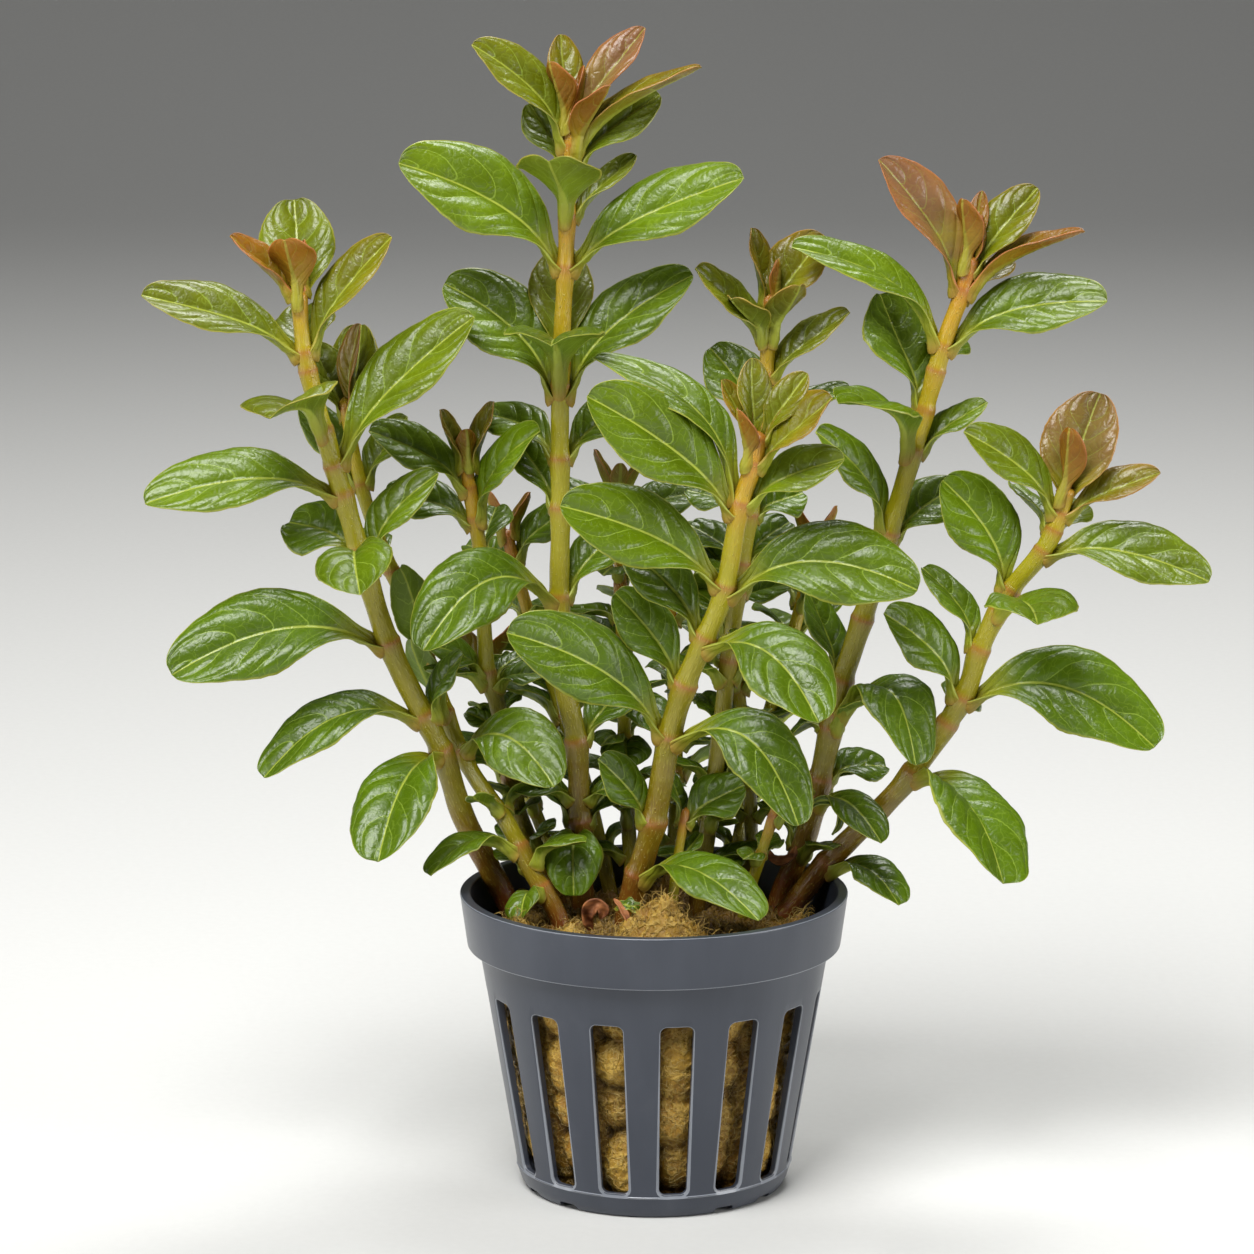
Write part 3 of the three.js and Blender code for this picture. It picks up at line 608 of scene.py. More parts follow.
class Workbench:
    """The modelling steps that the pieces share."""

    @staticmethod
    def begin() -> None:
        """Deselects everything, as before each new primitive."""
        bpy.ops.object.select_all(action="DESELECT")

    @staticmethod
    def pick(pieces: list) -> None:
        """Selects pieces alone and makes the first the active one.

        Args:
            pieces: the pieces, one or more.
        """
        Workbench.begin()
        for piece in pieces:
            piece.select_set(True)
        bpy.context.view_layer.objects.active = pieces[0]

    @staticmethod
    def triples(rows: object, name: str) -> np.ndarray:
        """Reads a vector property.

        Args:
            rows: a mesh's vertices, faces or normals.
            name: the property.

        Returns:
            Its values, a row for each.
        """
        flat = np.zeros(len(rows) * 3, np.float32)
        rows.foreach_get(name, flat)
        return flat.reshape(-1, 3)

    @staticmethod
    def paint(piece: bpy.types.Object, material: str) -> None:
        """Gives the piece one more material, by its name."""
        piece.data.materials.append(bpy.data.materials[material])

    @staticmethod
    def lay_out(piece: bpy.types.Object, name: str, places: np.ndarray) -> None:
        """Keeps a place on the surface for each vertex as the piece's UV map.

        Args:
            piece: the piece, a sheet with a UV map.
            name: the map's name, which materials read.
            places: the two coordinates of each vertex.
        """
        piece.data.uv_layers.active.name = name
        corners = np.zeros(len(piece.data.loops), np.int32)
        piece.data.loops.foreach_get("vertex_index", corners)
        piece.data.uv_layers[name].data.foreach_set("uv", places[corners].astype(np.float32).ravel())

    @staticmethod
    def move(piece: bpy.types.Object, points_mm: np.ndarray) -> None:
        """Puts the vertices at points in millimetres."""
        piece.data.vertices.foreach_set("co", (points_mm * MM).astype(np.float32).ravel())
        piece.data.update()

    @staticmethod
    def sheet(name: str, rows: int, columns: int) -> tuple[bpy.types.Object, np.ndarray, np.ndarray]:
        """Adds a grid to be shaped.

        Args:
            name: the piece's name.
            rows: faces along it.
            columns: faces across it.

        Returns:
            The piece, and for each vertex its place across from -1 to 1 and along from 0 to 1.
        """
        Workbench.begin()
        bpy.ops.mesh.primitive_grid_add(x_subdivisions=columns, y_subdivisions=rows, size=2)
        piece = bpy.context.object
        piece.name = name
        piece.data.name = name
        flat = Workbench.triples(piece.data.vertices, "co").astype(float)
        return piece, flat[:, 0], (flat[:, 1] + 1) / 2

    @staticmethod
    def record(piece: bpy.types.Object, **layers: object) -> None:
        """Keeps values of the vertices as attributes that materials read.

        Args:
            piece: the piece.
            layers: a value for each vertex, or one for all, under each attribute's name.
        """
        for name, values in layers.items():
            layer = piece.data.attributes.new(name, "FLOAT", "POINT")
            each = np.broadcast_to(values, len(piece.data.vertices)).astype(np.float32)
            layer.data.foreach_set("value", each)

    @staticmethod
    def apply(piece: bpy.types.Object, kind: str, **settings: object) -> None:
        """Adds a modifier and applies it.

        Args:
            piece: the piece.
            kind: the modifier's type.
            settings: the modifier's own settings, by name.
        """
        Workbench.pick([piece])
        modifier = piece.modifiers.new(kind.lower(), kind)
        for name, value in settings.items():
            setattr(modifier, name, value)
        bpy.ops.object.modifier_apply(modifier=modifier.name)

    @staticmethod
    def smooth(piece: bpy.types.Object, angle: float | None = None) -> None:
        """Smooths the piece.

        Args:
            piece: the piece.
            angle: edges that turn by more degrees than this stay sharp. None smooths all.
        """
        Workbench.pick([piece])
        if angle is None:
            bpy.ops.object.shade_smooth()
        else:
            bpy.ops.object.shade_smooth_by_angle(angle=math.radians(angle))

    @staticmethod
    def join(name: str, pieces: list) -> bpy.types.Object:
        """Joins pieces into the first of them.

        Args:
            name: the joined piece's name.
            pieces: the pieces, one or more.

        Returns:
            The joined piece.
        """
        Workbench.pick(pieces)
        if len(pieces) > 1:
            bpy.ops.object.join()
        pieces[0].name = name
        pieces[0].data.name = name
        return pieces[0]

    @staticmethod
    def rings(name: str, rings_mm: list) -> bpy.types.Object:
        """Models a closed body by extruding a filled circle, then puts each ring in its place.

        Args:
            name: the piece's name.
            rings_mm: rings of points in millimetres, all with as many points, that run anticlockwise
                when the last ring is seen from beyond it.

        Returns:
            The piece.
        """
        Workbench.begin()
        bpy.ops.mesh.primitive_circle_add(vertices=len(rings_mm[0]), fill_type="NGON")
        piece = bpy.context.object
        bpy.ops.object.mode_set(mode="EDIT")
        bpy.ops.mesh.select_all(action="SELECT")
        for _ in rings_mm[1:]:
            bpy.ops.mesh.extrude_region_move(TRANSFORM_OT_translate={"value": (0, 0, 1)})
        bpy.ops.object.mode_set(mode="OBJECT")
        Workbench.move(piece, np.concatenate(rings_mm))
        piece.name = name
        return piece

    @staticmethod
    def strands(name: str, routes_mm: list, radius_mm: float) -> bpy.types.Object:
        """Makes thin tubes along routes as one mesh.

        Args:
            name: the piece's name.
            routes_mm: a list of points in millimetres for each tube, thin at both its ends.
            radius_mm: the tubes' radius in their middle.

        Returns:
            The piece.
        """
        Workbench.begin()
        bpy.ops.curve.primitive_bezier_curve_add()
        piece = bpy.context.object
        piece.name = name
        curve = piece.data
        curve.splines.clear()
        curve.dimensions = "3D"
        curve.bevel_depth = radius_mm * MM
        curve.bevel_resolution = 0
        curve.use_fill_caps = True
        for route in routes_mm:
            spline = curve.splines.new("POLY")
            spline.points.add(len(route) - 1)
            flat = np.column_stack([np.array(route) * MM, np.ones(len(route))])
            spline.points.foreach_set("co", flat.astype(np.float32).ravel())
            thin = 0.35 + 0.65 * np.sin(np.linspace(0.15, math.pi - 0.15, len(route)))
            spline.points.foreach_set("radius", thin.astype(np.float32))
        bpy.ops.object.convert(target="MESH")
        return bpy.context.object

    @staticmethod
    def mount(piece: bpy.types.Object, slot: str, nodes: list) -> None:
        """Rides the piece on the root body, hides the frame's nodes that it stands for and logs them.

        Args:
            piece: the piece.
            slot: not used.
            nodes: the names of the frame's nodes.
        """
        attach(piece, "root")
        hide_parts(*nodes)
        LOG.info("%s: %d faces for %s", piece.name, len(piece.data.polygons), ", ".join(nodes))


@dataclass(frozen=True)
class StemPoint:
    """A place on a stem's line, the way the stem runs there and its radius."""

    place: np.ndarray
    along: np.ndarray
    radius: float


class Spine:
    """The smooth line through a shoot's route, tapering from its foot to its tip."""

    def __init__(self, route: list, girth: tuple[float, float]) -> None:
        """Samples the line through a route.

        Args:
            route: points in millimetres, from the foot up.
            girth: the stem's radii at its foot and its tip.
        """
        self.knots = np.array(route, float)
        self.girth = girth
        self.shares = np.linspace(0, 1, 1201)
        self.line = self.points(self.shares)
        steps = np.linalg.norm(np.diff(self.line, axis=0), axis=1)
        self.lengths = np.concatenate([[0], np.cumsum(steps)])

    def points(self, shares: np.ndarray) -> np.ndarray:
        """Points on the line, a uniform Catmull-Rom curve as in the part's source.

        Args:
            shares: shares of the line, from 0 to 1.

        Returns:
            The points.
        """
        knots = self.knots
        held = np.vstack([2 * knots[0] - knots[1], knots, 2 * knots[-1] - knots[-2]])
        spans = len(knots) - 1
        whole = np.clip((shares * spans).astype(int), 0, spans - 1)
        part = (shares * spans - whole)[:, None]
        before, start, end, after = (held[whole + step] for step in range(4))
        leave = (end - before) / 2
        arrive = (after - start) / 2
        square = -3 * start + 3 * end - 2 * leave - arrive
        cube = 2 * start - 2 * end + leave + arrive
        return start + leave * part + square * part ** 2 + cube * part ** 3

    def tangents(self, shares: np.ndarray) -> np.ndarray:
        """The way the line runs at shares of it."""
        ahead = self.points(np.clip(shares + 1e-4, 0, 1))
        return unit(ahead - self.points(np.clip(shares - 1e-4, 0, 1)))

    def radius(self, shares: np.ndarray) -> np.ndarray:
        """The stem's radius at shares of the line, its nodes left out."""
        return self.girth[0] + (self.girth[1] - self.girth[0]) * shares

    def share_at(self, height: float) -> float:
        """The share of the line at a height."""
        return float(np.interp(height, self.line[:, 2], self.shares))

    def at_height(self, height: float) -> StemPoint:
        """The place on the stem at a height."""
        share = np.array([self.share_at(height)])
        return StemPoint(self.points(share)[0], self.tangents(share)[0], float(self.radius(share)[0]))


@dataclass(frozen=True)
class LeafGrid:
    """A leaf's sheet: for each vertex its place across, from -1 to 1, and along the midrib, from 0 to 1.

    Half is half the leaf's width there, blade the share of the blade's full width, and inside how far
    into the blade the place is, from 0 to 1.
    """

    across: np.ndarray
    share: np.ndarray
    half: np.ndarray
    blade: np.ndarray
    inside: np.ndarray


@dataclass(frozen=True)
class Leaf:
    """One leaf: where it leaves the stem, its tip from there, and its form.

    Tilt turns its face from the stem's side to the front, in degrees. Age goes from 0, a bronze bud,
    to 1, an old green leaf, and blush makes it pink. Oval fills out the foot of the blade.
    """

    height: float
    reach: tuple[float, float, float]
    width: float
    arch: float
    tilt: float
    age: float
    blush: float = 0.0
    oval: float = 0.0

    # The midrib: where it starts, as a share of the stem's radius, and bends, as a share of its length
    START: ClassVar[float] = 0.85
    BEND: ClassVar[float] = 0.42
    # The mesh: its faces' size, and the least and the most rows and half columns
    FACE_LENGTH: ClassVar[float] = 0.4
    FACE_WIDTH: ClassVar[float] = 0.8
    ROWS: ClassVar[tuple] = (16, 64)
    HALF_COLUMNS: ClassVar[tuple] = (5, 16)
    # The thickest part, and the steps in which thickness is told apart
    THICKNESS: ClassVar[float] = 1.2
    THICKNESS_STEPS: ClassVar[int] = 20
    # The foot: how far round the stem it reaches, in degrees, the less when it faces the front, and the
    # lengths over which it lets go of the stem's skin
    WRAP: ClassVar[float] = 70
    WRAP_LOSS: ClassVar[float] = 22
    GRIP: ClassVar[float] = 1.0
    CLASP: ClassVar[float] = 2.2
    # The stalk's half width, at the least and at the most
    NECKS: ClassVar[tuple] = (0.4, 0.92)
    # The blade: how far its halves turn up, in degrees, the less when it is old, the height of its quilts
    # and of its margin's waves as shares of its width, and the midrib's groove
    CUP: ClassVar[float] = 30
    CUP_LOSS: ClassVar[float] = 18
    QUILT: ClassVar[float] = 0.024
    WAVE: ClassVar[float] = 0.018
    RIPPLE: ClassVar[float] = 0.006
    GROOVE_WIDTH: ClassVar[float] = 0.32
    GROOVE_DEPTH: ClassVar[float] = 0.2

    @property
    def length(self) -> float:
        """The distance from the stem's line to the tip."""
        return float(np.linalg.norm(self.reach))

    @property
    def is_own(self) -> bool:
        """Whether the frame has a node for this leaf alone."""
        return self.length >= OWN_LEAF_REACH

    def _away(self, node: StemPoint) -> np.ndarray:
        """The way to the tip, square to the stem."""
        reach = np.array(self.reach, float)
        return unit(reach - node.along * (reach @ node.along))

    def build(self, name: str, node: StemPoint, chance: random.Random) -> bpy.types.Object:
        """Models the leaf.

        Args:
            name: the piece's name.
            node: the place on the stem that it grows from.
            chance: the source of its small irregularities.

        Returns:
            The piece, with its underside and margin, in the leaf materials' order.
        """
        course = self._course(node)
        rows = int(np.clip(self.length / self.FACE_LENGTH, *self.ROWS))
        columns = 2 * int(np.clip(self.width / self.FACE_WIDTH, *self.HALF_COLUMNS))
        piece, across, along = Workbench.sheet(name, rows, columns)
        grid = self._outline(across, along - 0.1 * np.sin(2 * math.pi * along))
        aside, rise, phase = self._section(grid, chance)
        centre, side, up = self._frames(course, grid.share, chance)
        points = centre + side * aside[:, None] + up * rise[:, None]
        Workbench.move(piece, self._clasp(points, node, course[3], grid))
        Workbench.lay_out(piece, "leaf_map", np.column_stack([across / 2 + 0.5, grid.share]))
        Workbench.record(piece, age=self.age + 0.1 * (0.5 - grid.share), tone=chance.random(),
                         blush=self.blush * smooth_step(0.0, 0.3, grid.share), vein=phase,
                         aside=np.abs(across) * grid.half)
        self._thicken(piece, grid)
        return piece

    def _course(self, node: StemPoint) -> tuple:
        """The course of the midrib.

        Args:
            node: the place on the stem that the leaf grows from.

        Returns:
            The midrib's start, bend and end, and the way across the leaf.
        """
        tip = node.place + np.array(self.reach, float)
        base = node.place + self._away(node) * self.START * node.radius
        chord = tip - base
        length = float(np.linalg.norm(chord))
        chord = chord / length
        upright = unit(node.along - chord * (node.along @ chord))
        sideways = np.cross(chord, upright)
        forward = -1 if sideways[1] > 0 else 1
        turn = math.radians(self.tilt)
        bend = base + chord * self.BEND * length + upright * 2 * self.arch * length
        face = upright * math.cos(turn) + sideways * forward * math.sin(turn)
        return base, bend, tip, np.cross(chord, face)

    def _clasp(self, points: np.ndarray, node: StemPoint, sideways: np.ndarray,
               grid: LeafGrid) -> np.ndarray:
        """Bends the stalk's foot round the stem.

        Args:
            points: the leaf's points.
            node: the place on the stem that it grows from.
            sideways: the way across the leaf.
            grid: the leaf's grid.

        Returns:
            The points, those of the foot on the stem's skin.
        """
        away = self._away(node)
        lateral = np.cross(node.along, away)
        lateral = lateral * (1 if lateral @ sideways > 0 else -1)
        facing = max(0.0, float(away @ FRONT))
        angle = (grid.across * math.radians(self.WRAP - self.WRAP_LOSS * facing))[:, None]
        lift = (-0.1 - (0.9 + 0.5 * facing) * np.cos(math.pi / 2 * grid.across))[:, None]
        ring = node.place + node.along * lift
        grip = node.radius * (0.86 + 0.17 * smooth_step(0.0, self.GRIP / self.length, grid.share))[:, None]
        ring = ring + grip * (away * np.cos(angle) + lateral * np.sin(angle))
        hold = (1 - smooth_step(0.0, self.CLASP / self.length, grid.share))[:, None]
        return points * (1 - hold) + ring * hold

    def _outline(self, across: np.ndarray, share: np.ndarray) -> LeafGrid:
        """Works out the leaf's outline.

        Args:
            across: places across, from -1 to 1.
            share: places along the midrib, from 0 to 1.

        Returns:
            The leaf's grid.
        """
        inside = np.clip((share - 0.02) / 0.98, 0, 1)
        swell = np.clip(np.sin(math.pi * inside ** (1.42 - 0.24 * self.oval)), 0, 1)
        blade = swell ** (1.16 - 0.26 * self.oval - (0.5 + 0.22 * self.age - 0.2 * self.oval) * inside)
        neck = float(np.clip(0.05 * self.width + 0.3, *self.NECKS))
        stalk_half = neck * (1 + 0.3 * np.exp(-share / 0.05)) * (1 - inside) ** 1.3 + 0.03
        half = np.sqrt(stalk_half ** 2 + (self.width / 2 * blade) ** 2)
        return LeafGrid(across, share, half, blade, inside)

    def _section(self, grid: LeafGrid, chance: random.Random) -> tuple:
        """The cross-section at each vertex.

        Args:
            grid: the leaf's grid.
            chance: the source of the small irregularities.

        Returns:
            How far aside of the midrib and above it each vertex is, and the count of its side veins.
        """
        across, share, half = grid.across, grid.share, grid.half
        blade, inside = grid.blade, grid.inside
        edge = np.abs(across)
        cup = math.tan(math.radians(self.CUP - self.CUP_LOSS * min(1, self.age * 1.2)))
        cup = cup * (1 - 0.8 * smooth_step(0.55, 1.0, inside))
        veins = 3.4 + 2.0 * min(1, self.width / 14)
        sway = 0.3 * np.sin(9 * share + chance.uniform(0, 6)) + 0.12 * np.sin(23 * share + 3 * edge)
        phase = veins * (inside ** 0.95 - 0.2 * edge - 0.2 * edge ** 3)
        phase = phase + 0.24 * np.tanh(across / 0.08) + sway * 0.3
        quilt = np.abs(np.sin(math.pi * phase)) ** 0.6 * blade * (1 - edge ** 8) * np.minimum(1, edge * 5)
        groove = bell(across * half, self.GROOVE_WIDTH)
        groove = groove * np.minimum(1, (1 - inside) * 7) * smooth_step(0, 0.1, inside)
        rise = cup * half * edge ** 1.35 * (0.35 + 0.65 * blade)
        rise = rise + 0.09 * half * np.sin(math.pi * edge) * blade
        rise = rise - (0.05 + 0.14 * self.age) * half * edge ** 5 * blade
        rise = rise + self.QUILT * self.width * quilt - self.GROOVE_DEPTH * groove
        rise = rise + 0.7 * (1 - blade) * half * across ** 2 - 0.13 * half * blade
        wave = np.sin(2 * math.pi * (2.4 * share + chance.random()) + 1.3 * np.sign(across))
        ripple = np.sin(2 * math.pi * (6.1 * share + chance.random()) + 2.1 * np.sign(across))
        rise = rise + self.width * edge ** 3 * blade * (self.WAVE * wave + self.RIPPLE * ripple)
        narrow = np.cos(np.arctan(cup) * 0.8)
        tooth = 1 + 0.008 * np.sin(2 * math.pi * 11 * share + across)
        return across * half * narrow * tooth, rise, phase

    def _frames(self, course: tuple, share: np.ndarray, chance: random.Random) -> tuple:
        """Places along the midrib, which droops, sways and twists a little.

        Args:
            course: the midrib's start, bend and end, and the way across the leaf.
            share: places along it.
            chance: the source of the small irregularities.

        Returns:
            The midrib's points, and the ways aside and up from it.
        """
        base, bend, tip, across = course
        part = share[:, None]
        centre = (1 - part) ** 2 * base + 2 * part * (1 - part) * bend + part ** 2 * tip
        along = unit((1 - part) * (bend - base) + part * (tip - bend))
        side = unit(across - along * (along @ across)[:, None])
        up = np.cross(side, along)
        droop = chance.uniform(0.0, 0.05) * np.linalg.norm(tip - base)
        sway = chance.uniform(-0.02, 0.02) * np.linalg.norm(tip - base)
        centre = centre + side * (sway * np.sin(math.pi * part)) - up * (droop * part ** 4 * (1 - part))
        turn = math.radians(chance.uniform(-9, 9)) * (share - 0.5)
        turned_side = side * np.cos(turn)[:, None] + up * np.sin(turn)[:, None]
        return centre, turned_side, np.cross(turned_side, along)

    def _thicken(self, piece: bpy.types.Object, grid: LeafGrid) -> None:
        """Gives the leaf its thickness: a stout stalk and midrib, a thin blade and a thin margin.

        Args:
            piece: the leaf's upper side.
            grid: the leaf's grid.
        """
        share, blade = grid.share, grid.blade
        edge = np.abs(grid.across)
        rib = (0.75 - 0.5 * share) * bell(edge * (0.6 + 4.4 * blade), 0.42)
        plain = 0.25 * (1 - edge ** 5) + 0.12 * edge ** 5
        stout = (0.8 - 0.55 * edge ** 2) * (1 - smooth_step(0.0, 0.4, blade))
        stout = stout * (0.1 + 0.9 * smooth_step(0, 0.1, share))
        weight = np.maximum(np.maximum(rib, plain), stout) * np.minimum(1, (1 - share) * 12 + 0.12)
        steps = np.round(np.clip(weight, 0.05, 1) * self.THICKNESS_STEPS).astype(int)
        group = piece.vertex_groups.new(name="thickness")
        for step in np.unique(steps):
            group.add(np.flatnonzero(steps == step).tolist(), step / self.THICKNESS_STEPS, "REPLACE")
        for side in LeafSide:
            Workbench.paint(piece, f"leaf_{side.value}")
        Workbench.apply(piece, "SOLIDIFY", thickness=self.THICKNESS * MM, offset=-1.0,
                        vertex_group="thickness", material_offset=1, material_offset_rim=2,
                        use_even_offset=False)
        piece.vertex_groups.clear()
        Workbench.smooth(piece)


@dataclass(frozen=True)
class Shoot:
    """A stem with its leaves, those in the order of their nodes' numbers.

    Fill is the two heights between which small leaves thicken the plant, and the step between their
    pairs. Ripeness is how far up the stem's scale of colours its tip comes.
    """

    name: str
    girth: tuple[float, float]
    route: list
    leaves: list
    fill: tuple = ()
    columns: int = 20
    row_step: float = 0.55
    knot_swelling: float = 0.16
    ripeness: float = 1.0
    YOUNG_AGE: ClassVar[float] = 0.4
    NODE_GAP: ClassVar[float] = 2.2
    FILL_LENGTHS: ClassVar[tuple] = (6.5, 10.5)

    def build(self, number: int) -> None:
        """Models the stem, its large leaves one by one and its small leaves as one piece.

        Args:
            number: the shoot's place in SHOOTS, which seeds its small irregularities.
        """
        chance = random.Random(SEED * 100 + number)
        spine = Spine(self.route, self.girth)
        self._build_stem(spine, chance)
        small = []
        count = 0
        for leaf in self.leaves + self._undergrowth(chance):
            node = spine.at_height(leaf.height)
            if leaf.is_own:
                count += 1
                blade = leaf.build(f"blade_{self.name}_{count}", node, chance)
                slot = "young_leaf" if leaf.age < self.YOUNG_AGE else "leaf"
                Workbench.mount(blade, slot, [f"leaf_{self.name}_{count}"])
            else:
                small.append(leaf.build(f"sprig_{self.name}_{len(small) + 1}", node, chance))
        if small:
            sprigs = Workbench.join(f"sprigs_{self.name}", small)
            Workbench.mount(sprigs, "leaf", [f"stem_{self.name}"])

    def _undergrowth(self, chance: random.Random) -> list:
        """Small leaves in crossed pairs that thicken the inside of the plant between two heights.

        Args:
            chance: the source of their places and forms.

        Returns:
            The leaves.
        """
        leaves = []
        if not self.fill:
            return leaves
        low, high, step = self.fill
        turn = chance.uniform(0, math.pi)
        height = low
        while height < high:
            for way in (0, math.pi):
                bearing = turn + way + chance.uniform(-0.3, 0.3)
                length = chance.uniform(*self.FILL_LENGTHS)
                rise = chance.uniform(0.0, 0.55) * length
                reach = (length * math.cos(bearing), length * math.sin(bearing), rise)
                width = length * chance.uniform(0.46, 0.6)
                age = chance.uniform(0.75, 1.0)
                arch = chance.uniform(0.08, 0.2)
                leaves.append(Leaf(height, reach, width, arch, chance.uniform(0, 30), age))
            turn += math.pi / 2
            height += step * chance.uniform(0.85, 1.15)
        return leaves

    def _node_heights(self) -> list[float]:
        """Finds the nodes that show, one for leaves that spring from nearly the same place.

        Returns:
            Their heights, from the top down.
        """
        heights = []
        for height in sorted({leaf.height for leaf in self.leaves}, reverse=True):
            if not heights or heights[-1] - height > self.NODE_GAP:
                heights.append(height)
        return heights

    def _build_stem(self, spine: Spine, chance: random.Random) -> None:
        """Models the stem as a tube that swells at each node.

        Args:
            spine: the line it follows.
            chance: the source of its small irregularities.
        """
        length = float(spine.lengths[-1])
        rows = int(length / self.row_step)
        piece, across, along = Workbench.sheet(f"stalk_{self.name}", rows, self.columns)
        placed = along * length
        shares = np.interp(placed, spine.lengths, spine.shares)
        angle = math.pi + math.pi * (across + 1)
        knots = np.zeros(len(placed))
        ring = np.zeros(len(placed))
        for height in self._node_heights():
            place = float(np.interp(spine.share_at(height), spine.shares, spine.lengths))
            past = placed - place
            knots = np.maximum(knots, np.where(past < 0, bell(past, 2.4), bell(past, 0.7)))
            ring = np.maximum(ring, bell(past - 0.15, 0.4))
        cap = np.clip(np.minimum(placed, length - placed) / 0.9, 0, 1)
        rounding = np.sqrt(np.clip(1 - (1 - cap) ** 2, 0, 1))
        flute = 0.035 * np.cos(2 * angle + 0.06 * placed) + 0.02 * np.sin(5 * angle + 0.3 * placed)
        swell = 0.97 + self.knot_swelling * knots + 0.045 * ring + flute
        wander = 0.018 * np.sin(0.9 * placed + chance.uniform(0, 6))
        radius = spine.radius(shares) * (swell + wander) * rounding
        centre = spine.points(shares)
        tangent = spine.tangents(shares)
        front = unit(FRONT - tangent * (tangent @ FRONT)[:, None])
        side = np.cross(tangent, front)
        out = front * np.cos(angle)[:, None] + side * np.sin(angle)[:, None]
        Workbench.move(piece, centre + out * radius[:, None])
        Workbench.record(piece, age=shares * self.ripeness,
                         knot=np.clip(knots ** 4 * 0.36 + ring * 0.8, 0, 1))
        Workbench.lay_out(piece, "stem_map", np.column_stack([across / 2 + 0.5, placed / 10]))
        Workbench.paint(piece, "stem_skin")
        Workbench.apply(piece, "WELD", merge_threshold=0.00002)
        Workbench.smooth(piece)
        Workbench.mount(piece, "stem", [f"stem_{self.name}"])


@dataclass(frozen=True)
class NetPot:
    """The slotted pot: a tapered wall with a rolled band round its rim, a floor with drains and a foot.

    The profile's corners are a radius, a height and a rounding. A groove under the foot and a drain are a
    width, a height, and a start and an end from the pot's axis.
    """

    sides: int = 180
    foot_radius: float = 18.9
    wall_top_radius: float = 24.9
    band_foot: float = 35.0
    slots: int = 15
    slot_phase: float = 7.6
    slot_angle: float = 11.3
    slot_foot: float = 3.6
    slot_head: float = 29.0
    slot_corner: float = 0.9
    bevel: float = 0.19
    corner_points: int = 6
    groove: tuple = (3.0, 0.9, 16.0, 27.0)
    grooved: tuple = (1, 2, 3, 6, 7, 8, 11, 12, 13)
    drain: tuple = (2.2, 2.8, 9.0, 15.0)
    drained: tuple = (0, 3, 6, 9, 12)
    profile: tuple = (
        (0, 0, 0), (18.35, 0, 0.5), (19.0, 1.0, 0.6), (19.62, 3.05, 0.15), (19.78, 3.2, 0.08),
        (19.62, 3.36, 0.1), (24.85, 35.05, 0.25), (26.45, 35.0, 0.3), (27.5, 42.6, 0.26),
        (26.0, 42.6, 0.24), (25.1, 35.8, 0.5), (23.5, 34.6, 0.5), (18.3, 1.4, 0.8), (0, 1.4, 0),
    )

    def build(self) -> None:
        """Models the pot, cuts its openings and dresses it."""
        pot = self._turn_body()
        self._cut(pot, [self._slot_cutter(number) for number in range(self.slots)])
        bars = [self._bar(number, *self.groove) for number in self.grooved]
        self._cut(pot, bars + [self._bar(number, *self.drain) for number in self.drained])
        pot.data.materials.clear()
        Workbench.paint(pot, "pot_plastic")
        self._mark_highlight_edges(pot)
        Workbench.smooth(pot, 28)
        Workbench.mount(pot, "pot", ["net_pot"])

    def _cut(self, pot: bpy.types.Object, cutters: list) -> None:
        """Cuts the pot and takes the cutters away.

        Args:
            pot: the pot.
            cutters: closed bodies that don't overlap.
        """
        cutter = Workbench.join("pot_cutter", cutters)
        Workbench.apply(pot, "BOOLEAN", object=cutter, solver="EXACT")
        bpy.data.objects.remove(cutter)

    def _mark_highlight_edges(self, pot: bpy.types.Object) -> None:
        """Marks the narrow faces at the slots' mouths and the band's corners, which get a painted highlight.

        Args:
            pot: the pot.
        """
        x, y, z = Workbench.triples(pot.data.polygons, "center").T / MM
        normal = Workbench.triples(pot.data.polygons, "normal")
        radius = np.maximum(np.hypot(x, y), 1e-6)
        outward = (normal[:, 0] * x + normal[:, 1] * y) / radius
        near = abs(radius - self._wall_radius(z)) < self.bevel + 0.1
        beside = (z > self.slot_foot - 0.6) & (z < self.slot_head + 0.6)
        mouth = near & beside & (outward < 0.95) & (outward > 0.2)
        corner = (radius > 25.5) & (outward > 0.25) & (outward < 0.9) & (abs(normal[:, 2]) > 0.3)
        # The faces that get the painted edge highlight
        layer = pot.data.attributes.new("edge", "FLOAT", "FACE")
        layer.data.foreach_set("value", (mouth | corner).astype(np.float32))

    def _turn_body(self) -> bpy.types.Object:
        """Turns the pot's body from its rounded profile.

        Returns:
            The body, with no openings.
        """
        outline = self._rounded_profile()
        body, across, along = Workbench.sheet("pot_body", len(outline) - 1, self.sides)
        row = np.round(along * (len(outline) - 1)).astype(int)
        angle = math.pi / 2 + math.pi * (across + 1)
        radius = outline[row, 0]
        x, y = radius * np.cos(angle), radius * np.sin(angle)
        Workbench.move(body, np.column_stack([x, y, outline[row, 1]]))
        Workbench.apply(body, "WELD", merge_threshold=0.00001)
        return body

    def _rounded_profile(self) -> np.ndarray:
        """Rounds the profile's corners and divides its long sides.

        Returns:
            The profile's points, each a radius and a height.
        """
        points = []
        corners = np.array(self.profile, float)
        for place, (radius, height, rounding) in enumerate(corners):
            corner = np.array([radius, height])
            if rounding == 0:
                points.append(corner)
                continue
            before = unit(corners[place - 1][:2] - corner)
            after = unit(corners[place + 1][:2] - corner)
            for part in np.linspace(0, 1, self.corner_points):
                bent = before * (1 - part) ** 2 + after * part ** 2
                points.append(corner + bent * rounding)
        divided = [points[0]]
        for start, end in zip(points, points[1:]):
            pieces = max(1, round(float(np.linalg.norm(end - start)) / 2.2))
            divided += [start + (end - start) * step / pieces for step in range(1, pieces + 1)]
        return np.array(divided)

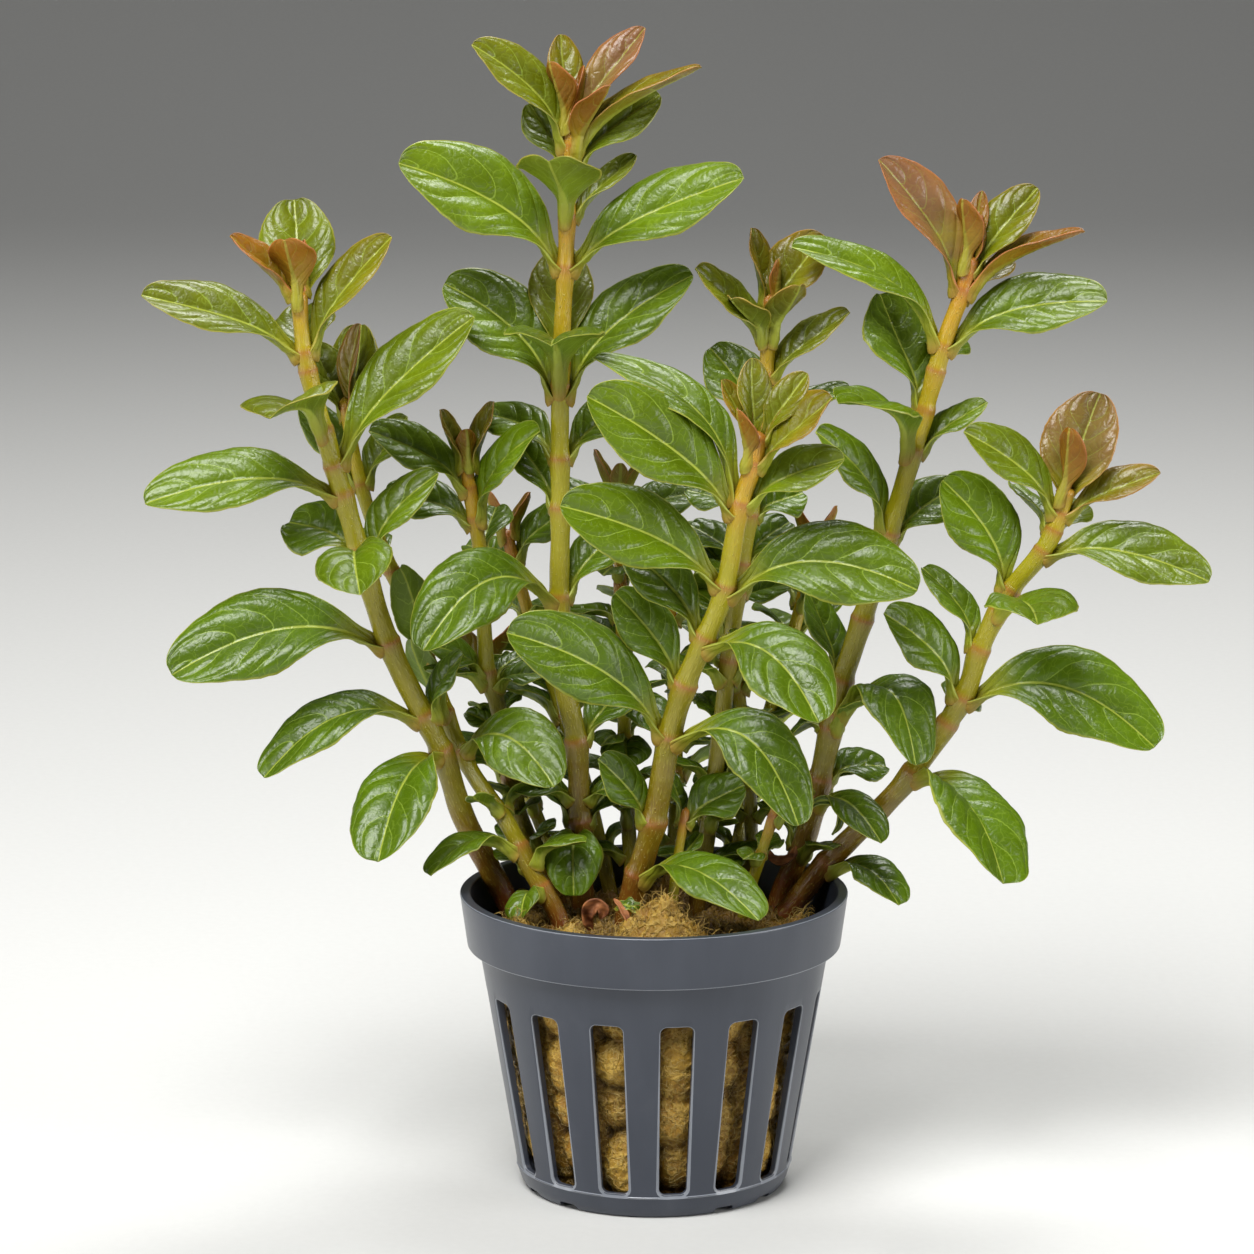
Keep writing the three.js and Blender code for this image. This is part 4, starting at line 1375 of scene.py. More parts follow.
    def _bearing(self, number: int) -> tuple[np.ndarray, np.ndarray]:
        """The ways outward and aside, seen from above, at a slot."""
        turn = math.radians(self.slot_phase + number * 360 / self.slots)
        return np.array([math.sin(turn), -math.cos(turn)]), np.array([math.cos(turn), math.sin(turn)])

    def _wall_radius(self, height: np.ndarray) -> np.ndarray:
        """The wall's outer radius at a height."""
        return self.foot_radius + (self.wall_top_radius - self.foot_radius) * height / self.band_foot

    def _slot_outline(self, spread: float) -> np.ndarray:
        """The outline of a slot, seen from outside.

        Args:
            spread: how much wider it is all round, in millimetres.

        Returns:
            Points of places aside and heights.
        """
        half_angle = math.radians(self.slot_angle / 2)
        low, high = self.slot_foot - spread, self.slot_head + spread
        corners = []
        for height, way in ((low, 1), (high, 1), (high, -1), (low, -1)):
            half = float(self._wall_radius(np.array(height))) * math.sin(half_angle) + spread
            corners.append(np.array([way * half, height]))
        outline = []
        rounding = self.slot_corner + spread
        for place, corner in enumerate(corners):
            before = unit(corners[place - 1] - corner)
            after = unit(corners[(place + 1) % 4] - corner)
            middle = corner + (before + after) * rounding
            for part in np.linspace(0, 1, self.corner_points):
                bent = unit(-after * (1 - part) - before * part)
                outline.append(middle + bent * rounding)
            following = corners[(place + 1) % 4]
            gap = np.linalg.norm(following - corner)
            steps = 6 if gap > 8 else 2
            for step in range(1, steps):
                outline.append(corner + after * (rounding + (gap - 2 * rounding) * step / steps))
        return np.array(outline)

    def _slot_cutter(self, number: int) -> bpy.types.Object:
        """Models the cutter of one slot, which flares at the wall's face to leave a bevelled edge.

        Args:
            number: the slot.

        Returns:
            The cutter.
        """
        outward, aside = self._bearing(number)
        rings = []
        layers = ((-3.4, 0.0), (-self.bevel, 0.0), (-0.3 * self.bevel, 0.3), (0.0, 1.0), (0.5, 6.0))
        for depth, flare in layers:
            outline = self._slot_outline(flare * self.bevel)
            radius = np.sqrt(self._wall_radius(outline[:, 1]) ** 2 - outline[:, 0] ** 2) + depth
            flat = outline[:, :1] * aside + radius[:, None] * outward
            rings.append(np.column_stack([flat, outline[:, 1]]))
        return Workbench.rings(f"slot_cutter_{number}", rings)

    def _bar(self, number: int, width: float, height: float, inner: float, outer: float) -> bpy.types.Object:
        """Models a cutter with rounded long edges that runs outward under the pot.

        Args:
            number: the slot that it runs towards.
            width: its width.
            height: its height above the underside.
            inner: its start, from the pot's axis.
            outer: its end, from the pot's axis.

        Returns:
            The cutter.
        """
        outward, aside = self._bearing(number)
        soft = 0.25
        half = width / 2
        section = [(-half - soft, 0.0), (-half, soft), (-half, height - soft), (-half + soft, height),
                   (half - soft, height), (half, height - soft), (half, soft), (half + soft, 0.0),
                   (half + soft, -1.0), (-half - soft, -1.0)]
        rings = []
        for reach in (inner, outer):
            rings.append([(*(x * aside + reach * outward), z) for x, z in reversed(section)])
        return Workbench.rings(f"bar_{number}_{round(width * 10)}", [np.array(ring) for ring in rings])


class LumpField:
    """Balls of root and wool that press against the pot's wall, as a relief from 0 to 1."""

    def __init__(self, radius: float, low: float, high: float, seed: int) -> None:
        """Stacks balls behind each slot, and tall ridges behind each rib.

        Args:
            radius: the radius on which the balls' places are measured.
            low: the height of the lowest.
            high: the height that they reach.
            seed: the seed of their sizes and places.
        """
        self.radius = radius
        pot = NetPot()
        middles = []
        for column in range(-1, pot.slots + 1):
            local = random.Random(seed + column % pot.slots)
            angle = math.radians(pot.slot_phase + column * 360 / pot.slots)
            height = low + local.uniform(2.4, 3.8)
            while height < high:
                size = local.uniform(3.4, 5.0)
                tall = local.choice((0.62, 0.85, 1.0, 1.1))
                aside = local.uniform(-1.2, 1.2)
                middles.append((angle * radius + aside, height, size, tall))
                height += local.uniform(1.45, 1.8) * size / tall
            rib = (angle + math.pi / pot.slots) * radius
            for step in range(4):
                middles.append((rib + local.uniform(-0.3, 0.3), low + 3 + 8 * step, 3.1, 0.4))
        self.middles = np.array(middles)

    def at(self, angle: np.ndarray, height: np.ndarray) -> np.ndarray:
        """The relief.

        Args:
            angle: angles from 0 to a full turn.
            height: heights, one for each angle.

        Returns:
            The relief there, from 0 to about 1.
        """
        relief = np.zeros(angle.shape)
        for around, middle, size, tall in self.middles:
            gap = np.hypot(angle * self.radius - around, (height - middle) * tall) / size
            dome = size / 4.2 * np.sqrt(np.clip(1 - gap ** 2, 0, 1))
            relief = np.logaddexp(relief * 16, dome * 16) / 16
        return np.clip(relief - 0.045, 0, 1.05)


class PlugFace(Enum):
    """The parts of the plug's surface."""

    UNDERSIDE = 0
    SIDE = 1
    TOP = 2


@dataclass(frozen=True)
class RockwoolPlug:
    """The plug of wool and roots: lumps against the pot's slots and tufts between the stems.

    A tuft of the top is a place to the right and to the rear, a rise and a spread. The wall's foot and
    top are a height and the pot's inner radius there. Rows are of the underside, the side and the top.
    """

    columns: int = 300
    top: float = 37.4
    foot: float = 1.75
    gap: float = 0.25
    lump_depth: float = 3.5
    top_relief: float = 4.2
    underside_radius: float = 17.0
    wall_foot: tuple = (1.4, 18.2)
    wall_top: tuple = (35.0, 23.4)
    lump_radius: float = 21.0
    lump_heights: tuple = (4.4, 34.0)
    face_rows: tuple = (12, 150, 95)
    side_fibres: int = 5200
    side_fibre_radius: float = 0.022
    top_fibres: int = 1700
    top_fibre_radius: float = 0.055
    tufts: tuple = (
        (-0.8, -15.5, 6.6, 4.6), (3.8, -16.5, 4, 3.6), (-11.5, -14, 3, 3.4), (9.5, -19, 2.4, 3.4),
        (17, -13.5, 2.6, 3.2), (-19.5, -5.5, 2.4, 3.2), (22, -1, 2.2, 3), (-6, -20, 2, 3),
        (4, 20, 2.4, 4), (-19, 12, 2, 3.4),
    )

    def build(self) -> None:
        """Models the plug and its fibres."""
        chance = random.Random(SEED)
        plug = self._build_plug(LumpField(self.lump_radius, *self.lump_heights, SEED))
        sides = self._side_routes(self._surface_tree(plug), chance)
        for name, routes, radius, finish in (
            ("wool_side_fibres", sides, self.side_fibre_radius, "pale_fibre"),
            ("wool_top_fibres", self._top_routes(chance), self.top_fibre_radius, "tan_fibre"),
        ):
            fibres = Workbench.strands(name, routes, radius)
            Workbench.paint(fibres, finish)
            Workbench.mount(fibres, "rockwool", ["rockwool_plug"])

    def _inner_radius(self, height: np.ndarray) -> np.ndarray:
        """The pot's inner radius at a height."""
        return np.interp(height, *zip(self.wall_foot, self.wall_top))

    def _top_height(self, x: np.ndarray, y: np.ndarray) -> np.ndarray:
        """The height of the plug's top, with its tufts.

        Args:
            x: places to the right.
            y: places to the rear.

        Returns:
            The heights there.
        """
        height = np.full(np.shape(x), self.top)
        for middle_x, middle_y, rise, spread in self.tufts:
            gap = np.hypot(x - middle_x, y - middle_y)
            height = height + rise * np.exp(-((gap / spread) ** 2.6))
        return height

    def _build_plug(self, lumps: LumpField) -> bpy.types.Object:
        """Models the closed plug: underside, lumpy side and tufted top.

        Args:
            lumps: the relief of its side.

        Returns:
            The plug.
        """
        under_rows, side_rows, top_rows = self.face_rows
        radii = np.linspace(0, 1, under_rows) * self.underside_radius
        heights = np.linspace(self.foot + 1.2, self.top - 1.4, side_rows)
        path = [(radius, self.foot, PlugFace.UNDERSIDE.value) for radius in radii]
        path += [(0.0, height, PlugFace.SIDE.value) for height in heights]
        path += [(share, 0.0, PlugFace.TOP.value) for share in np.linspace(0.97, 0, top_rows)]
        plug, across, along = Workbench.sheet("wool_plug", len(path) - 1, self.columns)
        row = np.round(along * (len(path) - 1)).astype(int)
        angle = math.pi * (across + 1)
        reach, level, face = np.array(path)[row].T
        on_side, on_top = face == PlugFace.SIDE.value, face == PlugFace.TOP.value
        turn = np.abs((angle + math.pi) % (2 * math.pi) - math.pi)
        pressed = smooth_step(1.0, 1.25, turn) * (1 - smooth_step(1.9, 2.2, turn))
        lump = lumps.at(angle, level)
        lump = lump + 0.6 * pressed * (1 - lump)
        side_radius = self._inner_radius(level) - self.gap - self.lump_depth * (1 - lump)
        edge_radius = self._inner_radius(np.array(self.top)) - self.gap - 0.9
        radius = np.where(on_side, side_radius, np.where(on_top, reach * edge_radius, reach))
        x, y = radius * np.sin(angle), -radius * np.cos(angle)
        height = np.where(on_top, self._top_height(x, y), level)
        fluff = np.array([self._fluff(point) for point in zip(x, y, height)])
        outward = 1 + np.where(on_side, 1.1 * (fluff - 0.6), 0) / np.maximum(radius, 1)
        x, y = x * outward, y * outward
        held = np.minimum(1, (self._inner_radius(height) - 0.2) / np.maximum(np.hypot(x, y), 0.1))
        x, y = x * held, y * held
        sink = smooth_step(0.93, 1.0, reach) * 2.2
        height = height + np.where(on_top, self.top_relief * (fluff - 0.5) - sink, 0)
        Workbench.move(plug, np.column_stack([x, y, height]))
        # Painted shade and light: the wool's colour level is low between the side's lumps and in the top's
        # hollows, and high on the lumps and the heaped tufts
        heap = smooth_step(self.top, self.top + 3.5, self._top_height(x, y))
        upper = (0.1 + 0.3 * heap) + (0.4 + 0.3 * heap) * fluff
        tone = np.where(on_side, 1.05 * lump - 0.16 + 0.4 * (fluff - 0.5), upper)
        Workbench.record(plug, fluff=np.clip(tone, 0, 1))
        Workbench.paint(plug, "rockwool_fibre")
        Workbench.apply(plug, "WELD", merge_threshold=0.00001)
        Workbench.smooth(plug)
        Workbench.mount(plug, "rockwool", ["rockwool_plug"])
        return plug

    def _fluff(self, point: tuple) -> float:
        """Crumpled relief.

        Args:
            point: the place, in millimetres.

        Returns:
            The relief there, from about 0 to 1.
        """
        place = Vector(point)
        coarse = noise.noise(place * 0.42)
        ridge = 1 - abs(noise.noise(place * 0.62 + Vector((7, 3, 1)))) * 2.4
        crease = 1 - abs(noise.noise(place * 1.3 + Vector((2, 9, 4)))) * 2.4
        fine = noise.noise(place * 3.1)
        return 0.5 + 0.22 * coarse + 0.26 * (ridge - 0.6) + 0.18 * (crease - 0.6) + 0.1 * fine

    def _surface_tree(self, plug: bpy.types.Object) -> tuple:
        """Readies the plug's surface for a search.

        Args:
            plug: the plug.

        Returns:
            A tree that finds the nearest of its points, the points and their normals.
        """
        places = Workbench.triples(plug.data.vertices, "co") / MM
        normals = Workbench.triples(plug.data.vertex_normals, "vector")
        tree = kdtree.KDTree(len(places))
        for number, place in enumerate(places):
            tree.insert(place, number)
        tree.balance()
        return tree, places, normals

    def _side_routes(self, surface: tuple, chance: random.Random) -> list:
        """Routes of hairs that curl over the side's lumps.

        Args:
            surface: the plug's tree, points and normals.
            chance: the source of their places and bends.

        Returns:
            The routes, each a list of points.
        """
        tree, places, normals = surface
        depth = self._inner_radius(places[:, 2]) - np.hypot(places[:, 0], places[:, 1])
        sides = np.flatnonzero((places[:, 2] > 4) & (places[:, 2] < 33) & (depth < 2.6))
        routes = []
        for _ in range(self.side_fibres):
            number = int(sides[chance.randrange(len(sides))])
            place = places[number].astype(float)
            heading = np.cross(normals[number], [chance.uniform(-1, 1) for _ in range(3)])
            heading = unit(heading + np.array([0, 0, chance.uniform(-0.4, 0.8)]))
            bend = chance.uniform(-0.6, 0.6)
            lift = chance.uniform(0.0, 0.3)
            route = []
            for _ in range(4):
                found, number, _ = tree.find(place)
                normal = normals[number].astype(float)
                laid = np.array(found) + normal * lift
                radius = math.hypot(laid[0], laid[1])
                limit = float(self._inner_radius(np.array(laid[2]))) - 0.15
                if radius > limit:
                    laid[:2] *= limit / radius
                route.append(laid)
                heading = unit(heading - normal * (heading @ normal) + np.cross(normal, heading) * bend)
                place = laid + heading * 0.4
            routes.append(route)
        return routes

    def _top_routes(self, chance: random.Random) -> list:
        """Routes of curly strands that stand up on the tufts and lie over the top.

        Args:
            chance: the source of their places and curls.

        Returns:
            The routes, each a list of points.
        """
        routes = []
        for number in range(self.top_fibres):
            if number % 3:
                middle_x, middle_y, _, spread = self.tufts[number % len(self.tufts)]
                x = middle_x + chance.gauss(0, spread * 0.55)
                y = middle_y + chance.gauss(0, spread * 0.55)
            else:
                turn, radius = chance.uniform(0, 2 * math.pi), 21.5 * math.sqrt(chance.random())
                x, y = radius * math.cos(turn), radius * math.sin(turn)
            if math.hypot(x, y) > 22:
                continue
            z = float(self._top_height(np.array(x), np.array(y)))
            z += self.top_relief * (self._fluff((x, y, z)) - 0.5) - 0.25
            flat = [chance.uniform(-1, 1) for _ in range(2)]
            heading = unit(np.array([*flat, chance.uniform(-0.1, 0.8)]))
            curl = unit(np.array([chance.uniform(-1, 1) for _ in range(3)])) * 0.55
            place = np.array([x, y, z])
            route = []
            for _ in range(7):
                route.append(place.copy())
                place = place + heading * 0.42
                heading = unit(heading + np.cross(curl, heading) + np.array([0, 0, -0.1]))
            routes.append([point for point in route if math.hypot(point[0], point[1]) < 23.2])
        return [route for route in routes if len(route) > 2]


class ScrapFinish(Enum):
    """The materials that scraps are made of."""

    DRY = "dry_scraps"
    GREEN = "leaf_upper"


@dataclass(frozen=True)
class Scrap:
    """A dry or curled scrap of leaf: a strip that follows a route, cupped across its width."""

    name: str
    route: tuple
    width: float
    facing: tuple
    cup: float
    finish: ScrapFinish = ScrapFinish.DRY

    def build(self) -> None:
        """Models the scrap."""
        spine = Spine(list(self.route), (1, 1))
        piece, across, along = Workbench.sheet(self.name, 40, 10)
        centre = spine.points(along)
        tangent = spine.tangents(along)
        side = unit(np.cross(tangent, np.array(self.facing, float)))
        up = np.cross(side, tangent)
        half = self.width / 2 * np.clip(np.sin(math.pi * (0.06 + 0.9 * along)), 0.05, 1) ** 0.7
        half = half * (1 + 0.12 * np.sin(17 * along) * np.abs(across))
        rise = self.cup * half * across ** 2 + 0.06 * self.width * np.sin(21 * along + 2 * across)
        Workbench.move(piece, centre + side * (across * half)[:, None] + up * rise[:, None])
        piece.data.uv_layers.active.name = "leaf_map"
        green = self.finish is ScrapFinish.GREEN
        if green:
            Workbench.record(piece, age=0.95, tone=0.4, vein=4 * (along - 0.3 * np.abs(across)),
                             aside=np.abs(across) * half, blush=0.0)
        Workbench.paint(piece, self.finish.value)
        Workbench.apply(piece, "SOLIDIFY", thickness=0.22 * MM, offset=0.0)
        Workbench.smooth(piece)
        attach(piece, "root")
        LOG.info("%s: %d faces", piece.name, len(piece.data.polygons))


@dataclass(frozen=True)
class Litter:
    """The loose scraps among the stems' feet."""

    scraps: tuple = (
        Scrap(
            "curled_dead_leaf",
            ((-8.9, -13.6, 40.4), (-9.4, -14.2, 42.0), (-9.1, -14.6, 43.5), (-8.0, -14.8, 44.2),
             (-7.2, -14.8, 43.4), (-7.5, -14.6, 42.2)),
            1.9, (0.2, -1, 0.3), 0.8,
        ),
        Scrap(
            "bent_dry_strip",
            ((-5.6, -14.4, 45.0), (-4.6, -15.6, 43.9), (-3.5, -16.8, 42.0), (-2.9, -17.6, 40.0)),
            0.9, (0.5, -1, 0.6), 0.6,
        ),
        Scrap(
            "low_green_leaf",
            ((-5.4, -13.6, 43.4), (-4.2, -14.4, 44.0), (-2.9, -15.0, 43.9), (-1.7, -15.4, 43.2)),
            2.3, (0.1, -0.6, 0.9), 0.3, ScrapFinish.GREEN,
        ),
        Scrap(
            "papery_ring",
            ((16.3, 8.7, 46.4), (17.0, 8.3, 45.2), (18.4, 8.0, 44.9), (19.8, 8.3, 45.6),
             (20.4, 8.8, 46.8)),
            1.3, (0.0, -1, 0.2), 0.4,
        ),
        Scrap(
            "looped_stalk",
            ((21.1, 6.0, 50.0), (21.5, 6.2, 52.3), (23.1, 6.4, 53.9), (25.1, 6.4, 54.0),
             (26.5, 6.2, 52.6), (26.4, 6.0, 50.6), (25.4, 5.8, 49.2)),
            1.2, (0.3, -1, 0.4), 0.5, ScrapFinish.GREEN,
        ),
    )

    def build(self) -> None:
        """Models the scraps one by one."""
        for scrap in self.scraps:
            scrap.build()


@dataclass(frozen=True)
class SoftLight:
    """A square soft light that faces the middle of the plant, its side in metres and its power in watts."""

    name: str
    place: tuple[float, float, float]
    side: float
    power: float

    def hang(self) -> None:
        """Hangs the light."""
        Workbench.begin()
        bpy.ops.object.light_add(type="AREA", location=[value * MM for value in self.place])
        lamp = bpy.context.object
        lamp.name = self.name
        lamp.data.size = self.side
        lamp.data.energy = self.power
        aim = Vector(PLANT_MIDDLE) - Vector(self.place)
        lamp.rotation_euler = aim.to_track_quat("-Z", "Y").to_euler()


@dataclass(frozen=True)
class Studio:
    """A pale swept floor, four soft lights and the photograph's camera."""

    lights: tuple = (
        SoftLight("top", (-200, -420, 740), 0.42, 9.4),
        SoftLight("left", (-740, -330, 170), 0.4, 2.8),
        SoftLight("right", (740, -300, 160), 0.4, 4.2),
        SoftLight("back", (120, 330, 820), 0.34, 5.6),
    )
    sky: float = 0.03
    floor_faces: tuple = (60, 4)
    floor_front: float = -1900.0
    floor_run: float = 4200.0
    floor_half_width: float = 2400.0
    floor_drop: float = 0.05
    sweep_start: float = 1100.0
    sweep_radius: float = 900.0

    def build(self) -> None:
        """Sets the floor, the lights and the camera."""
        self._lay_floor()
        for light in self.lights:
            light.hang()
        world = bpy.data.worlds.new("studio")
        world.use_nodes = True
        world.node_tree.nodes["Background"].inputs["Color"].default_value = (1.0, 1.0, 1.0, 1.0)
        world.node_tree.nodes["Background"].inputs["Strength"].default_value = self.sky
        bpy.context.scene.world = world
        bpy.context.scene.view_settings.view_transform = "Standard"
        self._set_camera()

    def _lay_floor(self) -> None:
        """Models the floor, which sweeps up behind the plant."""
        floor, across, along = Workbench.sheet("floor", *self.floor_faces)
        run = along * self.floor_run + self.floor_front
        start, radius = self.sweep_start, self.sweep_radius
        turn = np.clip((run - start) / radius, 0, math.pi / 2)
        y = np.where(run < start, run, start + radius * np.sin(turn))
        z = np.where(run < start, 0.0, radius * (1 - np.cos(turn))) - self.floor_drop
        Workbench.move(floor, np.column_stack([across * self.floor_half_width, y, z]))
        Workbench.paint(floor, "studio_paper")
        Workbench.smooth(floor)

    def _set_camera(self) -> None:
        """Sets the camera where the photograph was taken from."""
        Workbench.begin()
        bpy.ops.object.camera_add(location=[value * MM for value in CAMERA_PLACE])
        camera = bpy.context.object
        camera.name = "photo_camera"
        camera.rotation_euler = (math.radians(90 - CAMERA_DIP), 0, 0)
        camera.data.sensor_width = SENSOR_MM
        camera.data.lens = FOCAL_PIXELS / PHOTO_SIDE * SENSOR_MM
        bpy.context.scene.camera = camera


